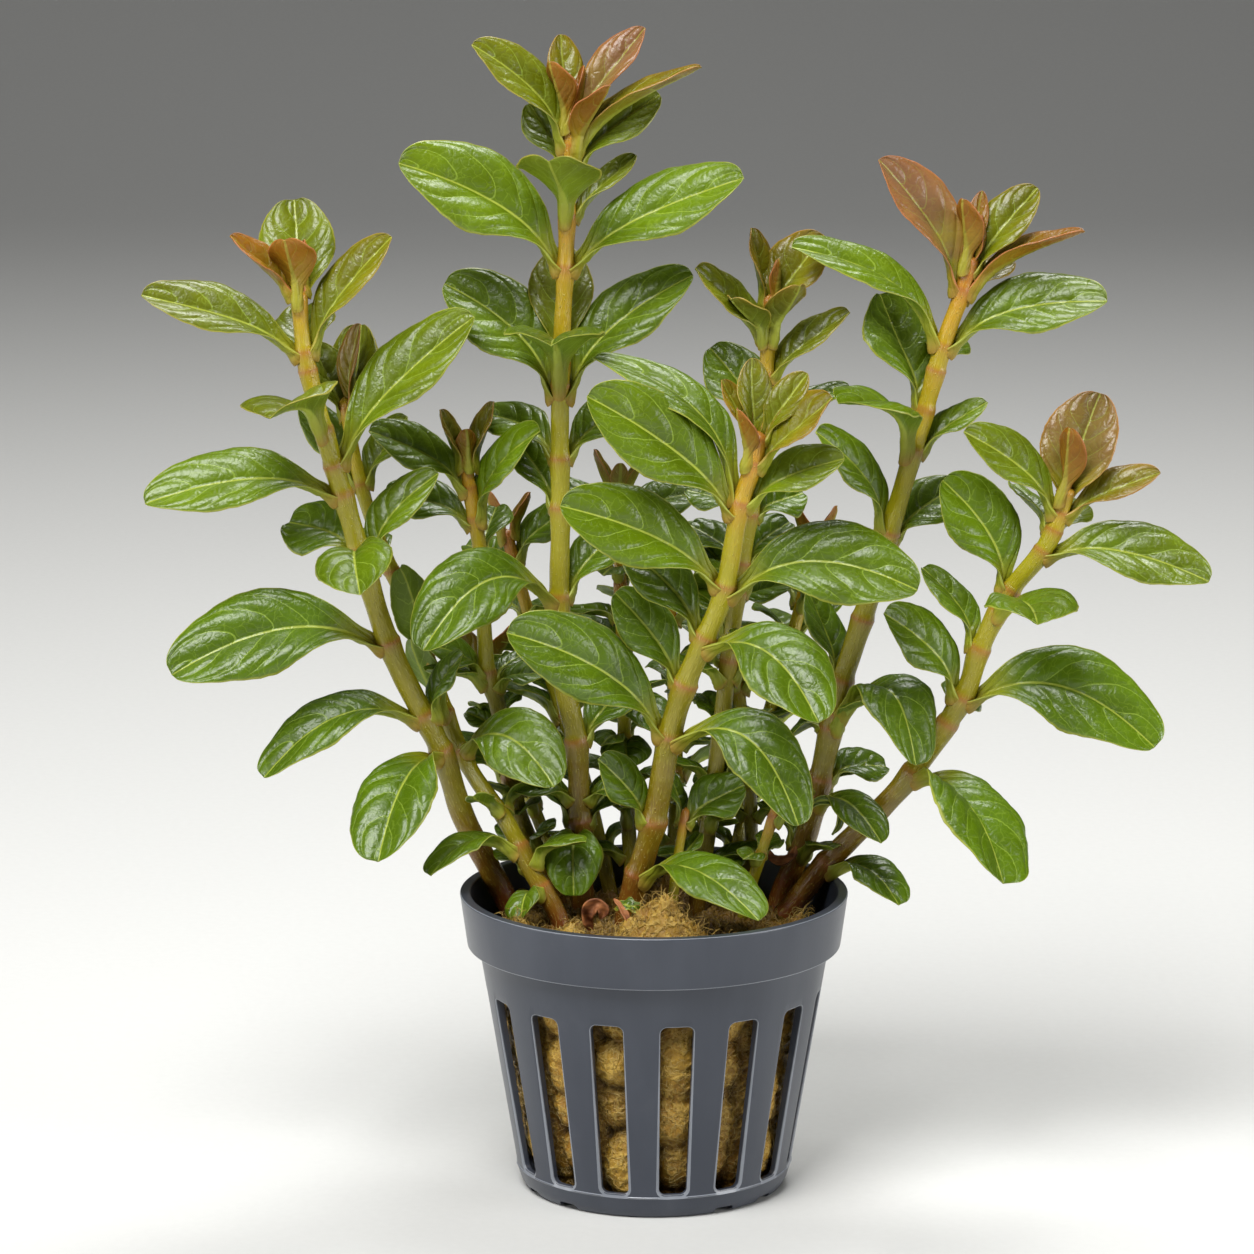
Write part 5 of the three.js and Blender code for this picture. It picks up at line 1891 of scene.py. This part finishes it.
SHOOTS = [
    Shoot("left", girth=(1.9, 1.15), ripeness=0.86, route=[
        (-17.8, 7.6, 30), (-20.8, 7.8, 38.4), (-26.9, 6, 51.3), (-30.2, 4, 62), (-37.4, 2, 78),
        (-43.4, 0.5, 99), (-46, 0, 108.3), (-48.5, 0, 118.9), (-49.4, 0, 128.5),
    ], leaves=[
        Leaf(127.2, (-1, 8, 12.6), 11.2, 0.05, 0, 0.52, oval=1.4),
        Leaf(127.2, (-1.6, -4.5, 8.6), 7.2, 0.14, 0, 0.06),
        Leaf(128, (-9.2, -1.5, 8), 5.4, 0.05, 30, 0.08),
        Leaf(128.2, (0.9, 0.8, 7), 2.4, 0.05, 0, 0),
        Leaf(119.5, (-22.2, -3, 8.4), 9.8, 0.07, 38, 0.5),
        Leaf(119.5, (12.2, 1, 16), 8.2, 0.09, 36, 0.4),
        Leaf(117, (-1, 14, 7), 9.5, 0.1, 0, 0.5),
        Leaf(108.6, (-6.4, -15, 4.1), 14.6, 0.24, 0, 0.5),
        Leaf(103.6, (19.6, 2, 20.6), 12.2, 0.08, 36, 0.62),
        Leaf(99.5, (-27.2, -4, -0.7), 11.4, 0.14, 38, 0.75),
        Leaf(91, (0.8, -16, -2.8), 11.4, 0.2, 0, 0.75),
        Leaf(91.5, (-10.2, 8, 2.4), 11.2, 0.12, 26, 0.9, oval=0.6),
        Leaf(88.5, (10.3, 2.7, 13.3), 8.6, 0.16, 26, 0.7),
        Leaf(78, (-30, -6, -3.4), 13.6, 0.165, 52, 1),
        Leaf(67.3, (-22.2, -6, -7.7), 11.2, 0.22, 20, 1, oval=0.6),
        Leaf(66.5, (5.4, -1.4, 9.8), 7, 0.16, 20, 1),
        Leaf(62, (-8.2, -17, -12), 13.2, 0.17, 10, 1, oval=0.7),
    ]),
    Shoot("left_rear", girth=(1.5, 0.9), ripeness=0.8, fill=(46, 64, 8), route=[
        (-12, 0, 29.5), (-13.3, 0, 38), (-17.3, 1, 45), (-21, 3, 52), (-27.2, 9, 60),
        (-33.3, 12.5, 76), (-41, 14, 96), (-44, 14.5, 111),
    ], leaves=[
        Leaf(109.5, (2.2, -1.8, 12.2), 4.4, 0.08, 66, 0.2),
        Leaf(108.4, (1.9, 4.6, 12.2), 11, 0.06, 0, 0.48, oval=0.8),
        Leaf(108.4, (-5, 3.6, 9.6), 8.6, 0.08, 0, 0.5, oval=1.0),
        Leaf(98.5, (6.6, 2, 9.4), 7.4, 0.08, 30, 0.6),
        Leaf(98.5, (-8.6, 3, 11), 7.4, 0.08, 30, 0.8),
        Leaf(86, (-6, 12, 3), 8, 0.12, 0, 0.9),
        Leaf(74, (-3.5, -2.1, 13.1), 8, 0.1, 30, 0.9),
        Leaf(66, (-4.9, -0.3, 10.7), 7, 0.1, 30, 0.95),
        Leaf(60.5, (13.4, -13, -2), 11.4, 0.27, 34, 0.9),
        Leaf(48.5, (-12.4, -6.5, -2.6), 8.4, 0.25, 22, 0.85, oval=0.6),
        Leaf(42.8, (-2.8, -6.6, -3), 6.4, 0.24, 10, 0.85),
    ]),
    Shoot("tall", girth=(1.75, 1.1), fill=(46, 60, 9), route=[
        (-9.5, 10.5, 28), (-10.1, 10, 38), (-10.6, 9.5, 50), (-11, 8.8, 62), (-13, 8, 72),
        (-13.4, 7.5, 84), (-13.2, 7, 96), (-13.2, 6, 113), (-12.4, 5, 131), (-11.8, 4, 146.5),
        (-11.6, 4, 153),
    ], leaves=[
        Leaf(152, (-1.4, 3.4, 10.9), 5.8, 0.05, 0, 0.36),
        Leaf(151.5, (10.3, 2.4, 12.4), 6.6, 0.05, 40, 0.12, 0.8),
        Leaf(152.5, (1.8, 0.6, 6.4), 2.2, 0.05, 0, 0),
        Leaf(151, (-2.8, -3.4, 8.8), 5, 0.1, 0, 0),
        Leaf(147.2, (5.6, -4.2, 9.4), 5.6, 0.1, 0, 0),
        Leaf(147.8, (-13.4, -2.5, 14.2), 8.6, 0.14, 44, 0.46),
        Leaf(147.5, (18.2, -2, 11.4), 6.8, 0.1, 8, 0.3),
        Leaf(144.8, (12.6, 4.5, 9.6), 8.2, 0.06, 34, 0.55),
        Leaf(144.8, (-5.6, 4.5, 8.4), 7, 0.06, 34, 0.6),
        Leaf(138, (-2.4, -12, 9), 12.4, 0.14, 0, 0.5),
        Leaf(138, (9.6, 4, 8), 5.6, 0.06, 10, 0.5),
        Leaf(130.7, (-22.9, -4, 15), 13.8, 0.13, 52, 0.72),
        Leaf(130.7, (24.7, -4, 13), 12, 0.075, 42, 0.78),
        Leaf(117, (0.2, 10, 15), 9.6, 0.1, 0, 0.46),
        Leaf(114, (-1, -17.5, 8.2), 14.4, 0.26, 0, 0.7),
        Leaf(112.4, (-16.2, 3.5, 15.4), 12.4, 0.15, 46, 0.78),
        Leaf(112.4, (18.6, 1.5, 16.9), 10.8, 0.13, 40, 0.78),
        Leaf(103.6, (11.4, 6, 8), 8, 0.1, 30, 0.8),
        Leaf(103.6, (-11.4, 11, 4.6), 8, 0.12, 25, 0.8),
        Leaf(96.5, (-6.5, 6, 9), 6.5, 0.1, 20, 0.8),
        Leaf(83, (-18.8, -13.5, -4.5), 13, 0.32, 34, 0.95),
        Leaf(83.5, (10.6, 4, 10.5), 8, 0.1, 30, 0.9),
        Leaf(74, (9.4, 4.1, -6), 7.4, 0.14, 30, 1),
        Leaf(62.3, (9, 4.5, 8.5), 7.4, 0.1, 30, 1),
        Leaf(50, (6.8, 4, 6.6), 6, 0.1, 25, 1),
        Leaf(49, (-0.8, -9.8, -7.2), 9, 0.34, 0, 1),
        Leaf(50.5, (-6.4, 1.5, 7.6), 4.8, 0.1, 20, 1),
    ]),
    Shoot("short_left", girth=(1.5, 0.85), fill=(46, 76, 8), route=[
        (-12.5, 14.5, 29), (-14.1, 14, 38.3), (-19.2, 13.2, 50), (-22.2, 12.4, 66), (-23.8, 12, 72),
        (-24.6, 11.4, 88), (-26, 11, 97.5), (-26.6, 11, 103),
    ], leaves=[
        Leaf(101.6, (-3.8, 0.6, 8.0), 5.2, 0.06, 12, 0.34),
        Leaf(101.6, (3.8, 1.6, 9.0), 5.4, 0.06, 12, 0.34),
        Leaf(102.4, (0, -1.6, 4.8), 3.2, 0.06, 0, 0.2),
        Leaf(98.4, (-14, -3.5, 8.8), 8.8, 0.1, 44, 0.75),
        Leaf(94, (9.4, -7.4, 13.8), 9, 0.15, 44, 0.8, oval=0.5),
        Leaf(93.4, (-13, 3.4, 3.8), 8.2, 0.1, 30, 0.9),
        Leaf(88.5, (2, 12, 5), 7, 0.12, 0, 0.9),
        Leaf(71.5, (-9.5, -5, 5.5), 8, 0.14, 34, 1),
        Leaf(69.5, (8.4, -2, 2.2), 6.6, 0.16, 10, 1),
        Leaf(56, (-8, 6, 3), 6, 0.12, 0, 1),
    ]),
    Shoot("front", girth=(1.95, 1.1), route=[
        (-3, 3, 29), (-3.8, 2, 38), (0, -1, 53), (2.2, -3, 65.8), (4.3, -4.6, 73.4), (7, -6, 80),
        (9.7, -7.5, 87.5), (11.6, -10, 98.8), (13.6, -11.4, 106), (14.2, -12, 110.5),
    ], leaves=[
        Leaf(109.4, (-0.8, 2, 10.8), 5.8, 0.05, 0, 0.4),
        Leaf(109, (-4.9, 0.5, 8.4), 4.2, 0.05, 30, 0.3),
        Leaf(109.4, (6.8, 1.4, 8.8), 5.6, 0.05, 34, 0.4),
        Leaf(106, (10.5, -4.2, 9.6), 8.8, 0.06, 36, 0.34),
        Leaf(106, (-2.4, -4, 8), 4.4, 0.1, 0, 0.1),
        Leaf(100.2, (14, -3, 6.6), 8, 0.1, 34, 0.6),
        Leaf(98.6, (-20.8, -4.5, 17), 12.6, 0.1, 48, 0.75),
        Leaf(100.2, (-20.4, 9, 18.6), 10.6, 0.22, 6, 0.8),
        Leaf(88, (-22.8, -5.5, 12.2), 12, 0.09, 46, 0.8),
        Leaf(87, (26.6, -4.5, 1.2), 13, 0.18, 44, 0.85),
        Leaf(80.4, (-11.6, 4.5, 12), 8.4, 0.1, 44, 0.9),
        Leaf(79.5, (15.6, -14, -8.2), 13.2, 0.22, 30, 0.95),
        Leaf(73.4, (-9.8, 3, 12.4), 8.4, 0.1, 46, 0.95),
        Leaf(65.8, (-22.6, -9, 16.4), 12.4, 0.12, 48, 0.95),
        Leaf(65.4, (17.8, -12, -9.8), 11.2, 0.34, 32, 1),
        Leaf(53, (-7.8, -3.5, 9.6), 7.6, 0.1, 44, 1),
        Leaf(45, (16.6, -17, -2.6), 10.8, 0.2, 14, 1),
    ]),
    Shoot("centre_rear", girth=(1.4, 0.95), fill=(44, 86, 7), route=[
        (5.5, 7, 29), (6.2, 8, 38), (8.5, 9, 55), (12, 9, 85), (15, 8.6, 104), (16, 8.4, 120),
        (16.2, 8.4, 126.5),
    ], leaves=[
        Leaf(125, (-2.6, 1.6, 10.6), 6.4, 0.05, 0, 0.34),
        Leaf(125.6, (1.2, -0.4, 6), 2.4, 0.05, 0, 0),
        Leaf(125, (7.6, 1.2, 9.6), 9.6, 0.04, 44, 0.34, oval=1.0),
        Leaf(120.6, (-10.3, -2, 9.8), 8.4, 0.04, 30, 0.45, oval=1.4),
        Leaf(120.4, (-5.4, -6.5, 6.4), 6.4, 0.1, 0, 0.4),
        Leaf(120.6, (4.2, -5.4, 7.8), 6.4, 0.1, 0, 0.36),
        Leaf(115, (11.6, -0.5, 9), 7.4, 0.08, 28, 0.45, oval=0.8),
        Leaf(107.5, (-7.4, 5, 10.6), 9.6, 0.1, 40, 0.8),
        Leaf(107, (12.4, 3, 5.8), 6.4, 0.12, 14, 0.8),
        Leaf(95, (-8.9, 4.2, 2.8), 8.6, 0.12, 26, 0.95),
        Leaf(95, (7.6, 4.2, 2.4), 8.4, 0.12, 26, 0.95),
        Leaf(88, (6.9, 5.1, 5), 8, 0.14, 20, 0.95),
        Leaf(88, (-7.3, 5.1, 4.6), 8, 0.14, 20, 0.95),
        Leaf(84, (9, 6, 7), 8, 0.12, 20, 1),
        Leaf(84, (-8, 7, 8), 8, 0.12, 20, 1),
        Leaf(74, (-7.5, 5, -4.6), 8, 0.16, 20, 1),
    ]),
    Shoot("right", girth=(1.85, 1.1), fill=(46, 66, 9), route=[
        (16.5, 11, 28.5), (18.2, 12, 38), (22, 11, 48.3), (24.9, 10, 61.7), (26.6, 9.5, 70),
        (29.8, 9, 80.5), (33.2, 8, 92.5), (36.4, 7.2, 104), (40.5, 6.5, 119.5), (43, 6, 127),
        (44.2, 6, 132.5),
    ], leaves=[
        Leaf(131, (-1.2, -3.4, 9.6), 5, 0.1, 0, 0),
        Leaf(131, (1.9, 2.8, 10), 3.4, 0.05, 0, 0.1),
        Leaf(130, (9.8, 2.4, 11.4), 8, 0.06, 36, 0.42, oval=0.5),
        Leaf(127.4, (-12, -1.4, 18.4), 9.6, 0.1, 50, 0.12, 0.85),
        Leaf(131.5, (1.6, 0, 6.5), 2.4, 0.05, 0, 0),
        Leaf(127.4, (16.6, -2.6, 8.6), 6, 0.11, 8, 0.1),
        Leaf(126.6, (7.4, 7, 4), 6, 0.08, 0, 0.35),
        Leaf(119.5, (-21.4, -3, 14.2), 10, 0.17, 22, 0.75),
        Leaf(119.5, (22.5, -3, 6.7), 11.2, 0.125, 42, 0.72),
        Leaf(116, (3, 11, 3), 7, 0.1, 0, 0.8),
        Leaf(110.4, (-6.2, 6.4, 15.4), 14.4, 0.08, 12, 0.85),
        Leaf(104, (-11, -13, 9.3), 11.4, 0.24, 0, 0.8),
        Leaf(104.6, (10.4, 3, 6.3), 6.6, 0.1, 8, 0.7),
        Leaf(92.6, (-10.6, -3.6, 15), 9, 0.16, 34, 0.85),
        Leaf(92, (10.4, 5, 6.6), 8, 0.1, 30, 0.85),
        Leaf(80, (2, 11, 4), 7.6, 0.12, 0, 0.9),
        Leaf(71, (-5, 3.6, 12.6), 9, 0.1, 10, 1),
        Leaf(64, (-6.4, 4.1, -2.6), 8, 0.2, 20, 1),
        Leaf(66.2, (11, -12.6, -4.8), 12.4, 0.5, 10, 1, oval=0.5),
        Leaf(56.5, (9.6, 4.6, 0.6), 8, 0.16, 20, 1),
        Leaf(53.5, (8.6, -16.4, -2.6), 6.6, 0.16, 22, 1),
    ]),
    Shoot("far_right", girth=(1.85, 1.1), ripeness=0.82, route=[
        (14, 6.8, 31.5), (19.6, 7, 38.2), (25.4, 6.4, 45.7), (33, 5, 54), (37, 4.5, 59),
        (43.7, 3.5, 69.8), (46, 3, 77), (50, 2.5, 85.2), (54.3, 2, 90.8), (56.6, 2, 95.5),
        (57.8, 1.6, 100.5),
    ], leaves=[
        Leaf(99, (5, 4.4, 13.8), 11.4, 0.05, 0, 0.3, 0.6, oval=1.6),
        Leaf(99.6, (1, 0.8, 6.2), 2.6, 0.05, 0, 0),
        Leaf(99, (0.2, -3.4, 10.2), 5, 0.1, 0, 0),
        Leaf(96.4, (-13.8, -2.2, 12), 8.6, 0.1, 42, 0.6),
        Leaf(96.6, (13.6, -2, 6), 6.4, 0.05, 36, 0.3),
        Leaf(94, (-5.4, 9, 5), 6.4, 0.1, 0, 0.7),
        Leaf(93.4, (5, 9.6, 2.6), 6.4, 0.1, 0, 0.6),
        Leaf(91, (23, -4, -3.5), 11, 0.13, 42, 0.65, oval=0.4),
        Leaf(85.4, (-9.7, 1.4, 15.4), 11.2, 0.12, 54, 0.85, oval=0.3),
        Leaf(82.6, (4.2, -15.4, 1), 13.6, 0.2, 28, 0.8),
        Leaf(76.8, (-7.9, 5.6, 10.6), 8, 0.14, 12, 0.9, oval=0.5),
        Leaf(69.8, (26.6, -5.6, -6), 13.8, 0.23, 50, 1, oval=0.6),
        Leaf(69.6, (-11.4, -3.8, 13), 9.6, 0.14, 44, 0.9),
        Leaf(66, (3, 11, 3), 7, 0.12, 0, 1),
        Leaf(58.7, (12, -14.6, -12.6), 17.2, 0.21, 10, 1, oval=1.4),
        Leaf(45, (9.8, -8, -4.2), 9, 0.24, 24, 1, oval=0.5),
    ]),
    Shoot("rear_centre", girth=(1.3, 0.8), fill=(44, 88, 6), route=[
        (-2.6, 11.5, 29), (-3, 13, 38), (-4, 18, 55), (-4.4, 22, 70), (-5.2, 25, 96),
    ], leaves=[
        Leaf(94.5, (-3.4, 1.2, 7), 3.8, 0.06, 0, 0.24),
        Leaf(94.5, (3.8, 1.2, 6.2), 3.8, 0.06, 0, 0.3),
        Leaf(94.5, (0.4, -2.4, 5.6), 2.8, 0.06, 0, 0.3),
        Leaf(91, (12, 3, 4), 8.6, 0.12, 34, 0.9),
        Leaf(91, (-9, 6, 5), 7.6, 0.12, 10, 0.9),
        Leaf(82, (3, 13, 4), 8, 0.14, 0, 0.9),
        Leaf(72, (-9, 8, 4), 8, 0.14, 10, 1),
        Leaf(66, (4.6, -8.9, -3.2), 7.6, 0.18, 10, 1),
        Leaf(60, (0.5, -7.6, -2.4), 7.6, 0.18, 0, 1),
    ]),
    Shoot("rear_left", girth=(1.2, 0.8), fill=(44, 66, 6), route=[
        (-11.4, 17, 29), (-13, 18.4, 38), (-19, 21, 54), (-25, 24.5, 70),
    ], leaves=[
        Leaf(69, (-5, 3, 7), 4.6, 0.06, 0, 0.2),
        Leaf(69, (4.6, -1, 7.4), 4.6, 0.06, 0, 0.2),
        Leaf(66, (-3, 10, 6), 7, 0.12, 0, 0.8),
        Leaf(66, (1.6, -6, 7), 6, 0.12, 0, 0.8),
        Leaf(56, (-13, 4, 3), 8, 0.16, 0, 1),
        Leaf(56, (6, 12, 2), 7.6, 0.16, 0, 1),
    ]),
    Shoot("rear_mid", girth=(1.3, 0.8), fill=(44, 82, 6), route=[
        (-5.6, 17.6, 29), (-6.4, 19.4, 38), (-11, 25, 56), (-18, 30, 76), (-21.6, 31, 89),
    ], leaves=[
        Leaf(88, (-2.8, 0, 6.6), 3.6, 0.06, 0, 0.1),
        Leaf(88, (3.4, 1, 6.2), 3.6, 0.06, 0, 0.15),
        Leaf(84.6, (8.6, -1, 7.8), 8.4, 0.12, 34, 0.9),
        Leaf(84.6, (-7, 5, 1), 7, 0.12, 10, 0.9),
        Leaf(74, (4, 13, 3), 8.6, 0.14, 0, 0.9),
        Leaf(62, (-12, 4, 4), 8, 0.16, 0, 1),
        Leaf(62, (11, 8, 2), 8, 0.16, 0, 1),
    ]),
    Shoot("rear_right", girth=(1.3, 0.8), fill=(44, 80, 6), route=[
        (9.8, 17.6, 29), (11.2, 19, 38), (15, 24, 56), (21, 29, 76), (23.6, 31, 87),
    ], leaves=[
        Leaf(86, (-3, 0, 6.6), 3.6, 0.06, 0, 0.1),
        Leaf(86, (3.4, 1, 6.2), 3.6, 0.06, 0, 0.15),
        Leaf(82, (-9, 0, 7), 8.4, 0.12, 34, 0.9),
        Leaf(82, (11, 4, 4), 8, 0.12, 10, 0.9),
        Leaf(72, (-3, 13, 3), 8.6, 0.14, 0, 0.9),
        Leaf(60, (12, 3, 5), 8, 0.16, 0, 1),
        Leaf(60, (-10, 10, 2), 8, 0.16, 0, 1),
    ]),
    Shoot("rear_far", girth=(1.3, 0.8), fill=(44, 74, 6), route=[
        (2.4, 18, 29), (2.8, 20, 38), (3.4, 29, 54), (3, 36, 68), (2.4, 40, 79),
    ], leaves=[
        Leaf(78, (-3.2, 1, 6.4), 3.8, 0.06, 0, 0.1),
        Leaf(78, (3.4, 1.4, 6), 3.8, 0.06, 0, 0.15),
        Leaf(74, (-11, 3, 4), 8, 0.12, 0, 0.8),
        Leaf(74, (11, 3, 4), 8, 0.12, 0, 0.8),
        Leaf(64, (0.6, 13, 2), 9, 0.16, 0, 0.9),
        Leaf(53, (12, 7, 2), 8, 0.16, 0, 1),
    ]),
    Shoot("inner_right", girth=(1.2, 0.8), fill=(44, 80, 6), route=[
        (12.6, 12, 29), (14, 13.2, 38), (13.8, 15, 54), (11.8, 17.6, 70), (9.4, 20, 84),
    ], leaves=[
        Leaf(82.6, (-3, 0, 6.4), 3.6, 0.06, 0, 0.2),
        Leaf(82.6, (3.4, 0.4, 6), 3.6, 0.06, 0, 0.2),
        Leaf(79, (-2.4, -7, 8), 7, 0.12, 0, 0.8),
        Leaf(79, (3, 11, 4), 8, 0.12, 0, 0.8),
        Leaf(79, (10.7, -3.1, 4.8), 8, 0.14, 30, 0.95),
        Leaf(76, (-6.5, -1, 4), 8, 0.14, 30, 1),
        Leaf(56, (-6.9, -5.3, -1), 7.6, 0.16, 16, 1),
        Leaf(68, (9.4, 2.4, 7), 7.6, 0.12, 20, 1),
    ]),
    Shoot("front_sprig", girth=(0.95, 0.6), route=[
        (2, 0.4, 32), (2.4, 0.6, 38), (3.4, 1.8, 47), (4.6, 3, 54),
    ], leaves=[
        Leaf(52, (8.6, 2.6, 4.6), 8.4, 0.1, 50, 1),
        Leaf(52, (-2, 4, 6), 4, 0.1, 0, 0.9),
        Leaf(46, (3.4, 3.6, 3.6), 3.6, 0.1, 0, 0.9),
    ]),
    Shoot("right_sprig", girth=(1, 0.7), route=[
        (12.2, 3.4, 31), (12.8, 3.2, 38), (15.2, 3, 47), (18.4, 3, 57),
    ], leaves=[
        Leaf(56, (2, -1, 6), 3.6, 0.06, 20, 0.8),
        Leaf(52.5, (5, -1, 2.4), 3.4, 0.12, 20, 0.8),
        Leaf(47, (-2.6, -5, 0.6), 4.4, 0.16, 0, 0.9),
        Leaf(47, (1.6, 5.4, 2), 4, 0.12, 0, 0.9),
    ]),
]


def mix_finishes() -> None:
    """Makes every material of the plant and the studio."""
    for finish in (
        LeafSkin(LeafSide.UPPER, relief_mm=0.36, roughness=0.27, shine=0.47),
        LeafSkin(LeafSide.UNDER),
        LeafSkin(LeafSide.MARGIN),
        StemSkin(),
        PotPlastic(),
        RockwoolFinish(),
        FibreFinish("pale_fibre", srgb(128, 98, 38), srgb(206, 184, 120)),
        FibreFinish("tan_fibre", srgb(104, 80, 26), srgb(176, 146, 72)),
        LitterFinish(),
        StudioPaper(),
    ):
        finish.material()


def main() -> None:
    """Builds the dressed plant and its studio."""
    logging.basicConfig(level=logging.INFO, format="%(name)s %(message)s")
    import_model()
    mix_finishes()
    Studio().build()
    NetPot().build()
    RockwoolPlug().build()
    for number, shoot in enumerate(SHOOTS):
        shoot.build(number)
    Litter().build()


if __name__ == "__main__":
    main()
